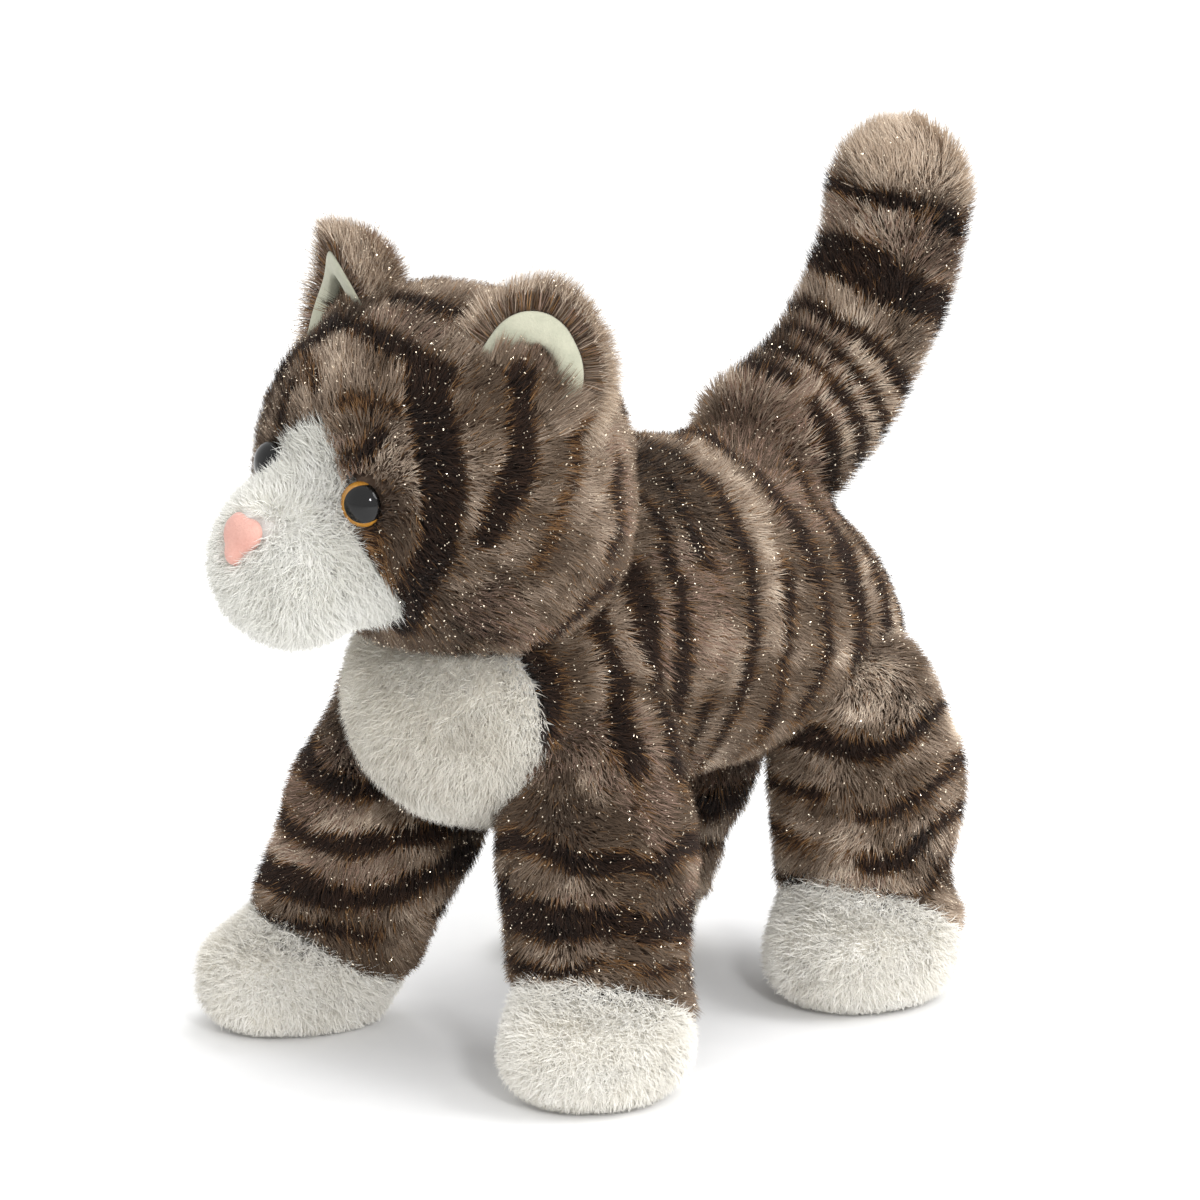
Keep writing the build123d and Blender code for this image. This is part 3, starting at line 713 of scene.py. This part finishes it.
def plain_slots(p, rng, shades=4):
    count = len(p)
    grain = noise(p, 5.0, 81) * 0.7 + rng.random(count) * 0.35
    high = np.clip((grain * 3.2).astype(int), 0, shades - 1)
    # the lower part one step deeper: partly the fibres' own colour, partly painted shade deep in the pile
    return np.minimum(high + 1, shades - 1), high


DENSITY = 5.6     # blades on each square millimetre
GLINT = 0.09               # share of tabby blades that carry a glint
BLADE = {"torso": 5.9, "chest": 4.8, "head": 5.8, "muzzle": 5.2, "hollow": 8.0, "paw": 4.6, "tail": 7.2}
CUFF_BLADE = (3.4, 2.4)    # a leg's blades at the cuff, and how much longer they are above it


def tabby_pile(name, p, n, flow, length, dark, rng, painted_shade=0.0, **more):
    low, high = tabby_slots(p, dark, rng, painted_shade)
    return pile(name, p, n, flow, length, TABBY_MATERIALS, low, high, rng, glint=GLINT, **more)


def plain_pile(name, p, n, flow, length, materials, rng, **more):
    low, high = plain_slots(p, rng)
    return pile(name, p, n, flow, length, materials, low, high, rng, width=0.24, soft=0.0, **more)


def all_legs(p):
    return np.min([leg_field(p, name) for name in LEGS], axis=0)


SKIN_STEP = 1.5            # grid step of the skins' surfaces


def skin_mesh(field, lo, hi):
    return surface(field, lo, hi, SKIN_STEP, PILE)


# ---------------------------------------------------------------- torso
rng = np.random.default_rng(2)
torso_lo, torso_hi = np.array([-46, CENTRE - 76, 50.0]), np.array([46, CENTRE + 104, 152.0])
points, quads = skin_mesh(lambda p: np.maximum(torso_field(p), -bib_region(p)), torso_lo, torso_hi)
torso_skin = make("torso_fur_skin", points, quads, [SKIN_TABBY], values={"dark": torso_dark(points)})
whole = skin_mesh(torso_field, torso_lo, torso_hi)
p, n = scatter(*whole, DENSITY, rng,
               lambda p: (all_legs(p) > -3.0) & (head_field(p) > -2.0) & (tail_field(p) > -3.0))
white = bib_region(p) < 0.3
flow = np.tile([0.0, 1.0, -0.45], (len(p), 1))
# painted shade: the torso's ground is drawn 1.5 steps darker for the light on it
torso_piles = tabby_pile("torso_pile", p[~white], n[~white], flow[~white], BLADE["torso"],
                         torso_dark(p[~white]), rng, painted_shade=1.5)

points, quads = skin_mesh(lambda p: np.maximum(torso_field(p), bib_region(p)), torso_lo, torso_hi)
bib_skin = make("chest_white_skin", points, quads, [SKIN_CREAM])
p, n = p[white], n[white]
flow = np.tile([0.0, -0.2, -1.0], (len(p), 1))
bib_piles = plain_pile("chest_white_pile", p, n, flow, BLADE["chest"], CREAM_MATERIALS, rng,
                       clump=0.5, lean=1.1, stray=0.7)
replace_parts(torso_skin, "torso_shell")
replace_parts(bib_skin, "chest_panel")
ride_all([torso_skin, *torso_piles], "torso")
ride_all([bib_skin, *bib_piles], "torso")
fibre = filling("torso_fibre", torso_field, torso_lo, torso_hi, FIBRE, "torso_stuffing")
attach(fibre, "torso")

# ---------------------------------------------------------------- head
rng = np.random.default_rng(3)
head_lo, head_hi = HEAD_CENTRE - [52, 74, 52], HEAD_CENTRE + [52, 52, 52]
points, quads = skin_mesh(lambda p: np.maximum(head_field(p), -white_face(p)), head_lo, head_hi)
head_skin = make("head_fur_skin", points, quads, [SKIN_TABBY], values={"dark": head_dark(points)})


def clear_of_eyes(p):
    q = in_head(p)
    ok = np.ones(len(q), bool)
    for side, place in EYE_PLACES.items():
        room = np.where(q[:, 1] * side < place[1] * side, 7.2, 5.9)
        ok &= np.linalg.norm(q - place, axis=-1) > room
    return ok


def head_flow(p):
    """Away from the nose, backwards over the head and down the cheeks."""
    q = in_head(p)
    away = unit(q - np.array([60.0, 0, -6.0]))
    fall = -0.35 * step(np.abs(q[:, 1]), 15, 40)
    away = away + np.stack([np.full(len(q), -0.3), np.zeros(len(q)), fall], -1)
    return away @ HEAD_AXES


whole = skin_mesh(head_field, head_lo, head_hi)
p, n = scatter(*whole, DENSITY, rng, lambda p: (torso_field(p) > -8.0) & clear_of_eyes(p))
white = white_face(p) < 0.2
# painted shade: the head's ground 0.7 steps darker, and up to 1.5 more towards the bottom of the head
head_piles = tabby_pile("head_pile", p[~white], n[~white], head_flow(p[~white]), BLADE["head"],
                        head_dark(p[~white]), rng,
                        painted_shade=0.7 + 1.5 * step(-in_head(p[~white])[:, 2], -16.0, 6.0))

points, quads = skin_mesh(lambda p: np.maximum(head_field(p), white_face(p)), head_lo, head_hi)
muzzle_skin = make("muzzle_white_skin", points, quads, [SKIN_WHITE])
NOSE_OUTLINE = [(0, -3.6), (2.4, -3.4), (4.1, -3.8), (5.1, -5.0), (4.9, -6.6), (3.6, -8.3), (2.3, -9.4),
                (1.7, -10.9), (1.1, -12.4), (0, -12.9)]
NOSE_OUTLINE = NOSE_OUTLINE + [(-l, u) for l, u in NOSE_OUTLINE[-2:0:-1]]


def nose_zone(p):
    q = in_head(p)
    return np.where(q[..., 0] > 50, outline_distance(q[..., 1], q[..., 2], NOSE_OUTLINE), 99.0)


white &= nose_zone(p) > 0.9
p, n = p[white], n[white]
q = in_head(p)
away = unit(q - np.array([58.0, 0, 1.0])) + [0, 0, -0.45]
muzzle_piles = plain_pile("muzzle_white_pile", p, n, away @ HEAD_AXES, BLADE["muzzle"], WHITE_MATERIALS,
                          rng, lean=1.1, clump=0.45, stray=0.7)

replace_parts(head_skin, "head_shell")
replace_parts(muzzle_skin, "muzzle_panel")
ride_all([head_skin, *head_piles], "head")
ride_all([muzzle_skin, *muzzle_piles], "head")
fibre = filling("head_fibre", head_field, head_lo, head_hi, FIBRE, "head_stuffing")
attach(fibre, "head")

# ---------------------------------------------------------------- neck
neck_lo, neck_hi = (np.array(c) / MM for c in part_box("neck_stuffing"))
neck_middle, neck_half = (neck_lo + neck_hi) / 2, (neck_hi - neck_lo) / 2
points, quads = skin_mesh(lambda p: oval(p - neck_middle, neck_half), neck_lo - 3, neck_hi + 3)
neck = make("neck_fur_skin", points, quads, [SKIN_TABBY], values={"dark": np.zeros(len(points))})
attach(neck, "neck")
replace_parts(neck, "neck_stuffing")


# ---------------------------------------------------------------- rings: star-shaped patches
def ring_patch(outline, rings):
    """A star-shaped outline filled with rings of quads: places, their share of the way out, faces."""
    outline = np.asarray(outline, float)
    centre = outline.mean(0)
    count = len(outline)
    points, faces = [], []
    for r in np.linspace(1, 0, rings + 1)[:-1]:
        points += [(x, y, r) for x, y in centre + (outline - centre) * r]
    points.append((*centre, 0.0))
    for k in range(rings - 1):
        for i in range(count):
            j = (i + 1) % count
            faces.append((k * count + i, k * count + j, (k + 1) * count + j, (k + 1) * count + i))
    last = (rings - 1) * count
    for i in range(count):
        faces.append((last + i, last + (i + 1) % count, len(points) - 1))
    arr = np.array(points)
    return arr[:, :2], arr[:, 2], faces


def rounded(outline, per_side=6):
    """A closed Catmull-Rom curve through an outline's points."""
    pts = np.asarray(outline, float)
    n = len(pts)
    out = []
    for i in range(n):
        a, b, c, d = pts[i - 1], pts[i], pts[(i + 1) % n], pts[(i + 2) % n]
        for t in np.arange(per_side) / per_side:
            out.append(0.5 * (2 * b + (c - a) * t + (2 * a - 5 * b + 4 * c - d) * t * t
                              + (3 * b - a - 3 * c + d) * t ** 3))
    return np.array(out)


# nose
flat, share, faces = ring_patch(rounded(NOSE_OUTLINE, 4), 10)
mc, mr = np.array(MUZZLE_CENTRE), np.array(MUZZLE_RADII)
inside = 1 - ((flat[:, 0] - mc[1]) / mr[1]) ** 2 - ((flat[:, 1] - mc[2]) / mr[2]) ** 2
forward = mc[0] + mr[0] * np.sqrt(np.maximum(inside, 0)) - 2.6 + 1.9 * np.sqrt(np.clip(1 - share ** 3, 0, 1))
points = from_head(np.stack([forward, flat[:, 0], flat[:, 1]], -1))
nose = make("nose_velour_patch", points, faces, [NOSE_CLOTH])
thick = nose.modifiers.new("thickness", "SOLIDIFY")
thick.thickness = 1.5 * MM
thick.offset = -1
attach(nose, "head")
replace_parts(nose, "nose_patch")


# ---------------------------------------------------------------- eyes
EYE_RADIUS = 5.7
EYE_RISE = 4.3
EYE_SINK = 1.6             # from the head's sphere to the rim's plane
EYE_TURNS, EYE_RINGS = 48, 14
EYE_BACK = 1.2
PUPIL = {1: (1.9, 1.06), -1: (0.1, 0.94)}        # how far it sits outwards, and its scale
PUPIL_UP = 0.9
PUPIL_EDGE = (0.85, 0.88)


def eye_material():
    """Glossy plastic whose colour goes by the distance from the pupil's middle."""
    m, nodes, links, shader = nodes_for("eye_amber", 0.08, 0.0)
    shader.inputs["Specular IOR Level"].default_value = 0.4
    mark = add(nodes, "ShaderNodeAttribute", attribute_name="iris")
    grain = add(nodes, "ShaderNodeTexNoise", Scale=1400.0, Detail=4.0)
    place = nodes.new("ShaderNodeTexCoord").outputs["Object"]
    links.new(place, grain.inputs["Vector"])
    amber = mix(nodes, links, grain.outputs[0], linear(120, 74, 22), linear(214, 156, 66))
    ramp = nodes.new("ShaderNodeValToRGB")
    e = ramp.color_ramp.elements
    e[0].position, e[0].color = PUPIL_EDGE[0], (0, 0, 0, 1)
    e[1].position, e[1].color = PUPIL_EDGE[1], (1, 1, 1, 1)
    links.new(mark.outputs["Fac"], ramp.inputs[0])
    colour = mix(nodes, links, ramp.outputs[0], (0.003, 0.003, 0.003, 1), amber)
    links.new(colour, shader.inputs["Base Color"])
    return m


EYE_MATERIAL = eye_material()


def dome(name, side):
    out = unit(EYE_PLACES[side]) @ HEAD_AXES
    centre = HEAD_CENTRE + out * (HEAD_RADIUS - EYE_SINK)
    look = unit(out * 0.6 + HEAD_AXES[0] * 0.4)
    across = unit(np.cross(look, HEAD_AXES[2]))
    up = np.cross(across, look)
    points, values = [], []
    turns, rings = EYE_TURNS, EYE_RINGS
    outwards, scale = PUPIL[side]
    outwards = outwards * (HEAD_AXES[1] @ across * -side)
    for k in range(rings + 1):
        a = k / rings * math.pi / 2
        radius, rise = EYE_RADIUS * math.sin(a), EYE_RISE * math.cos(a)
        for i in range(turns if k else 1):
            t = 2 * math.pi * i / turns
            x, y = radius * math.cos(t), radius * math.sin(t)
            points.append(centre + across * x + up * y + look * rise)
            values.append(math.hypot(x + outwards, y - PUPIL_UP) / EYE_RADIUS * scale)
    faces = [(0, 1 + (i + 1) % turns, 1 + i) for i in range(turns)]
    for k in range(rings - 1):
        for i in range(turns):
            j = (i + 1) % turns
            a, b = 1 + k * turns, 1 + (k + 1) * turns
            faces.append((a + i, a + j, b + j, b + i))
    eye = make(name, np.array(points), faces, [EYE_MATERIAL], values={"iris": np.array(values)})
    back = eye.modifiers.new("back", "SOLIDIFY")
    back.thickness = EYE_BACK * MM
    back.offset = -1
    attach(eye, "head")
    return eye


for side, name in ((1, "left"), (-1, "right")):
    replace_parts(dome(f"eye_{name}_dome", side), f"eye_{name}")

# ---------------------------------------------------------------- ears
EAR_ARC = [(-15.3, -4.0), (-17.4, 2.5), (-18.2, 8.5), (-16.8, 13.4), (-13.0, 16.7), (-8.0, 17.5),
           (-3.0, 16.3), (2.0, 14.2), (6.2, 10.8), (9.2, 6.0), (11.0, 1.0), (11.4, -4.0), (8.5, -7.0),
           (-3.0, -6.5), (-12.0, -6.0)]
# how deep the outer side curls forward, height and outer width as a scale, turn and lean, how far the
# ear sits into the head, how high the pile in its hollow reaches, length of the tufts before it
EARS = {
    "left": (3.0, 1.0, 1.0, 0.0, math.radians(14), 3.2, 5.5, 12.5),
    "right": (9.0, 0.8, 1.25, math.radians(-9), math.radians(-4), 0.0, 1.0, 9.0),
}


def ear(side, name):
    rng = np.random.default_rng(5 + side)
    deep, tall, wide, turn, lean, sink, hollow_top, tuft = EARS[name]
    origin = PIVOT[f"ear_{name}_fold"]
    across = unit(HINGE[f"ear_{name}_fold"])
    out = unit(origin - HEAD_CENTRE)
    front = np.cross(across, out)
    across, front = (across * math.cos(turn) + front * math.sin(turn),
                     front * math.cos(turn) - across * math.sin(turn))
    rise = out * math.cos(lean) - front * math.sin(lean)
    front = front * math.cos(lean) + out * math.sin(lean)
    origin = origin - rise * sink
    outline = rounded([(x * side * (wide if x > 0 else 1.0), y * tall) for x, y in EAR_ARC], 5)
    flat, share, faces = ring_patch(outline, 16)
    d = (1 - share) * 14.0
    roll = 1.5 * np.sin(np.clip(d / 5.0, 0, 1) * math.pi / 2) - 9.0 * step(d, 6.5, 13.5)
    outer = flat[:, 0] * side > 0
    curl = np.where(outer, deep, 2.5) * (flat[:, 0] / 14.0) ** 2 - 0.10 * flat[:, 1]

    def place(z):
        return origin + flat[:, :1] * across + flat[:, 1:] * rise + z[:, None] * front

    lining = make(f"ear_{name}_velour", place(roll + curl), faces, [EAR_CLOTH])
    thick = lining.modifiers.new("thickness", "SOLIDIFY")
    thick.thickness = 1.0 * MM
    thick.offset = -1
    smooth = lining.modifiers.new("smooth", "SUBSURF")
    smooth.levels = smooth.render_levels = 1
    back_z = curl - 0.4 - 11.0 * np.sqrt(np.clip(1 - share ** 2, 0, 1))
    count, edge = len(flat), len(outline)
    points = np.concatenate([place(back_z), place(roll + curl - 1.3)])
    closed = list(faces) + [tuple(v + count for v in f[::-1]) for f in faces]
    closed += [(i, (i + 1) % edge, (i + 1) % edge + count, i + count) for i in range(edge)]
    spots = 0.9 * (noise(points, 9.0, 91 + side) > 0.6)
    skin = make(f"ear_{name}_fur_skin", points, closed, [SKIN_TABBY], values={"dark": spots})
    quads = np.array([f for f in faces if len(f) == 4])
    # pile on the back, longest and standing out at the rim
    p, n = scatter(place(back_z), quads, DENSITY * 2.3, rng)
    n = np.where((np.einsum("ij,j->i", n, front) > 0)[:, None], -n, n)
    local = np.stack([(p - origin) @ across, (p - origin) @ rise], -1)
    radial = unit(local - np.array([-4.0 * side, 3.0]))
    outwards = radial[:, :1] * across + radial[:, 1:] * rise
    reach = np.clip(np.hypot(local[:, 0] + 4.0 * side, local[:, 1] - 3.0) / 14.0, 0, 1)
    n = unit(n + outwards * (1.2 * reach ** 3)[:, None] + rng.normal(0, 0.3, n.shape))
    dark = 0.9 * (noise(p, 9.0, 91 + side) > 0.6) * (reach < 0.75)
    low, high = tabby_slots(p, np.clip(dark, 0, 1), rng)
    # pale tips on the rim's fringe: partly the fringe's own light tips, partly painted light shining through
    # it
    tips = (reach > 0.6) & (rng.random(len(p)) < 0.7)
    high = np.where(tips, rng.choice([0, 0, 1, 2], len(p)), high)
    low = np.where(tips, rng.choice([6, 2, 3, 10], len(p)), low)
    length = (6.0 + 4.0 * reach) * (0.5 + 0.5 * tall)
    back = pile(f"ear_{name}_pile", p, n, outwards + 0.3 * rise, length, TABBY_MATERIALS, low, high, rng,
                glint=GLINT, lean=0.5, clump=1.5, width=0.2)
    # pile that fills the hollow of the ear
    p, n = scatter(place(roll + curl), quads, DENSITY * 1.6, rng)
    local = np.stack([(p - origin) @ across, (p - origin) @ rise], -1)
    inner = (np.abs(local[:, 0] + 2.5 * side) < 6.5) & (local[:, 1] < hollow_top)
    p = p[inner & ((p - origin) @ front < -1.0)]
    stand = np.tile(unit(front + 0.35 * rise), (len(p), 1))
    fill = tabby_pile(f"ear_{name}_hollow_pile", p, stand, np.tile(rise, (len(p), 1)), BLADE["hollow"],
                      head_dark(p), rng, lean=0.5, clump=1.6)
    ride_all([lining], f"ear_{name}")
    ride_all([skin, *back, *fill], f"ear_{name}")
    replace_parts(lining, f"ear_{name}_lining")
    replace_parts(skin, f"ear_{name}_back")
    # tufts on the head in front of the ear
    count = int(600 * DENSITY)
    x, y = rng.uniform(-13, 12, count), rng.uniform(0.0, 8.0, count)
    foot = origin + x[:, None] * across + y[:, None] * front
    normal = unit(foot - HEAD_CENTRE)
    foot = HEAD_CENTRE + normal * (HEAD_RADIUS - PILE)
    tufts = tabby_pile(f"ear_{name}_front_tufts", foot, normal, np.tile(-front, (count, 1)),
                       tuft - 0.5 * y, head_dark(foot), rng, lean=0.3, clump=1.8)
    ride_all(tufts, "head")


ear(1, "left")
ear(-1, "right")


# ---------------------------------------------------------------- legs and paws
def sole(z):
    """Heights near the floor, where the paw's skin comes down further than the inset leaves it."""
    return np.maximum(z - 3.0 * (1 - step(z, 4.0, 10.0)), 0.8)


for index, name in enumerate(LEGS):
    rng = np.random.default_rng(20 + index)
    hip, foot, down, *_ = leg_points(name)
    lo = np.minimum(hip - 28, foot - [28, 36, 2])
    hi = np.maximum(hip + 28, foot + [28, 30, 30])
    field = lambda p: np.maximum(leg_field(p, name), -cuff_side(p, name))
    points, quads = skin_mesh(field, lo, hi)
    dark = leg_dark(points, name)
    skin = make(f"{name}_leg_fur_skin", points, quads, [SKIN_TABBY], values={"dark": dark})
    whole = skin_mesh(lambda p: leg_field(p, name), lo, hi)
    p, n = scatter(*whole, DENSITY * 1.15, rng, lambda p: torso_field(p) > -6.0)
    white = cuff_side(p, name) < 1.6
    paw_p, paw_n = p[white], n[white]
    p, n = p[~white], n[~white]
    size = CUFF_BLADE[0] + CUFF_BLADE[1] * step(cuff_side(p, name), 2.0, 8.0)
    flow = down + [0, 3.0, -1.3] * step(n[:, 2], 0.1, 0.6)[:, None]
    # painted shade: each leg's ground darker by its own amount, for how the light falls on it
    leg_piles = tabby_pile(f"{name}_leg_pile", p, n, flow, size, leg_dark(p, name), rng,
                           painted_shade=LEG_PAINTED_SHADE[name])
    field = lambda p: np.maximum(leg_field(p, name), cuff_side(p, name))
    points, quads = skin_mesh(field, lo, hi)
    points[:, 2] = sole(points[:, 2])
    paw_skin = make(f"{name}_paw_skin", points, quads, [SKIN_CREAM])
    paw_p[:, 2] = sole(paw_p[:, 2])
    flow = np.tile([0.0, -0.35, -1.0], (len(paw_p), 1))
    size = BLADE["paw"] * (0.45 + 0.55 * step(paw_n[:, 2], -0.9, -0.3))
    paw_piles = plain_pile(f"{name}_paw_pile", paw_p, paw_n, flow, size, PAW_MATERIALS, rng, floor=0.3,
                           lean=1.2, clump=0.35, stray=1.1)
    field = lambda p: np.maximum(leg_field(p, name), FILL_INSET - cuff_side(p, name))
    fibre = filling(f"{name}_leg_fibre", field, lo, hi, FIBRE, f"{name}_leg_stuffing")
    for piece in [skin, *leg_piles, fibre]:
        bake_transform(piece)
    field = lambda p: np.maximum(leg_field(p, name), cuff_side(p, name) + FILL_INSET)
    beans = filling(f"{name}_paw_beans", field, lo, hi, BEANS, f"{name}_paw_pellets")
    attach(beans, f"{name}_leg")
    ride_all([paw_skin, *paw_piles], f"{name}_leg")
    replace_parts(skin, f"{name}_leg_shell")
    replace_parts(paw_skin, f"{name}_paw_shell")

# ---------------------------------------------------------------- tail
rng = np.random.default_rng(31)
tail_lo = np.array([-22.0, TAIL_ROOT[1] - 24, TAIL_ROOT[2] - 24])
tail_hi = np.array(CAD_BOX[1]) / MM + 4
tail_hi[0] = 22.0
points, quads = skin_mesh(tail_field, tail_lo, tail_hi)
tail_skin = make("tail_fur_skin", points, quads, [SKIN_TABBY], values={"dark": tail_dark(points)})
p, n = scatter(points, quads, DENSITY, rng, lambda p: torso_field(p) > -7.0)
angle, near, _ = tail_place(p)
flow = np.stack([np.zeros(len(p)), np.cos(near), np.sin(near)], -1)
# painted light: the tail's ground 0.3 steps lighter, for the light on it
low, high = tabby_slots(p, tail_dark(p), rng, -0.3)
tip = (angle - TAIL_ANGLES[1]) * TAIL_BEND + 0.25 * p[:, 0] + 5.0 * (noise(p, 9.0, 95) - 0.5) * 2
pale = tip + rng.normal(0, 1.2, len(p)) > 2.0
high = np.where(pale, rng.integers(0, 2, len(p)), high)
low = np.where(pale, rng.integers(1, 3, len(p)), low)
tail_piles = pile("tail_pile", p, n, flow, BLADE["tail"], TABBY_MATERIALS, low, high, rng, glint=GLINT,
                  lean=0.7)
tail_fibre = filling("tail_fibre", tail_field, tail_lo, tail_hi, FIBRE, "tail_stuffing")
for piece in [tail_skin, *tail_piles, tail_fibre]:
    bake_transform(piece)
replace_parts(tail_skin, "tail_shell")

# ---------------------------------------------------------------- what is inside
WASHER = fabric("washer_plastic", (226, 226, 222), (212, 212, 208), size=1200.0, bump=0.05, rough=0.45,
                sheen=0.0)
for side in ("left", "right"):
    washer = frame["nodes"][f"eye_washer_{side}"]
    washer.data.materials.clear()
    washer.data.materials.append(WASHER)

# ---------------------------------------------------------------- floor, light and camera
floor_material = fabric("pale_floor", (246, 246, 246), (240, 240, 240), size=60.0, bump=0.02, sheen=0.0)
FLOOR_HALF = 12000.0
floor = make("floor", np.array([[-1, -1, 0], [1, -1, 0], [1, 1, 0], [-1, 1, 0]]) * FLOOR_HALF,
             [(0, 1, 2, 3)], [floor_material], smooth=False)

world = bpy.data.worlds.new("studio")
bpy.context.scene.world = world
world.use_nodes = True
world.node_tree.nodes["Background"].inputs[0].default_value = (1, 1, 1, 1)
world.node_tree.nodes["Background"].inputs[1].default_value = 1.0


def aim(thing, azimuth, elevation, target, distance):
    """Place a lamp or the camera at an azimuth and elevation in degrees, turned to its target."""
    a, e = math.radians(azimuth), math.radians(elevation)
    back = np.array([math.sin(a) * math.cos(e), -math.cos(a) * math.cos(e), math.sin(e)])
    thing.location = np.array(target) + back * distance
    thing.rotation_mode = "QUATERNION"
    thing.rotation_quaternion = Vector(-back).to_track_quat("-Z", "Y")
    bpy.context.scene.collection.objects.link(thing)


def lamp(name, azimuth, elevation, distance, size, power):
    data = bpy.data.lights.new(name, "AREA")
    data.shape = "DISK"
    data.size = size
    data.energy = power
    aim(bpy.data.objects.new(name, data), azimuth, elevation, (0, 0, 0.1), distance)


# azimuth, elevation, distance in metres, size in metres, watts
lamp("key", 120, 40, 1.6, 0.9, 11)
lamp("top", 195, 65, 1.6, 1.0, 11)
lamp("sparkle", 60, 28, 1.5, 0.22, 7)

scene = bpy.context.scene
scene.view_settings.view_transform = "Standard"
AZIMUTH, ELEVATION = 43.1, 15.6                  # fitted to the photograph
TARGET = np.array([-1.3, -1.3, 105.6]) * MM
CAMERA_DISTANCE = 3.333                          # metres
camera_data = bpy.data.cameras.new("camera")
camera_data.lens = 400.0
camera_data.sensor_width = 36.0
camera_data.clip_end = 100.0
camera = bpy.data.objects.new("camera", camera_data)
aim(camera, AZIMUTH, ELEVATION, TARGET, CAMERA_DISTANCE)
scene.camera = camera
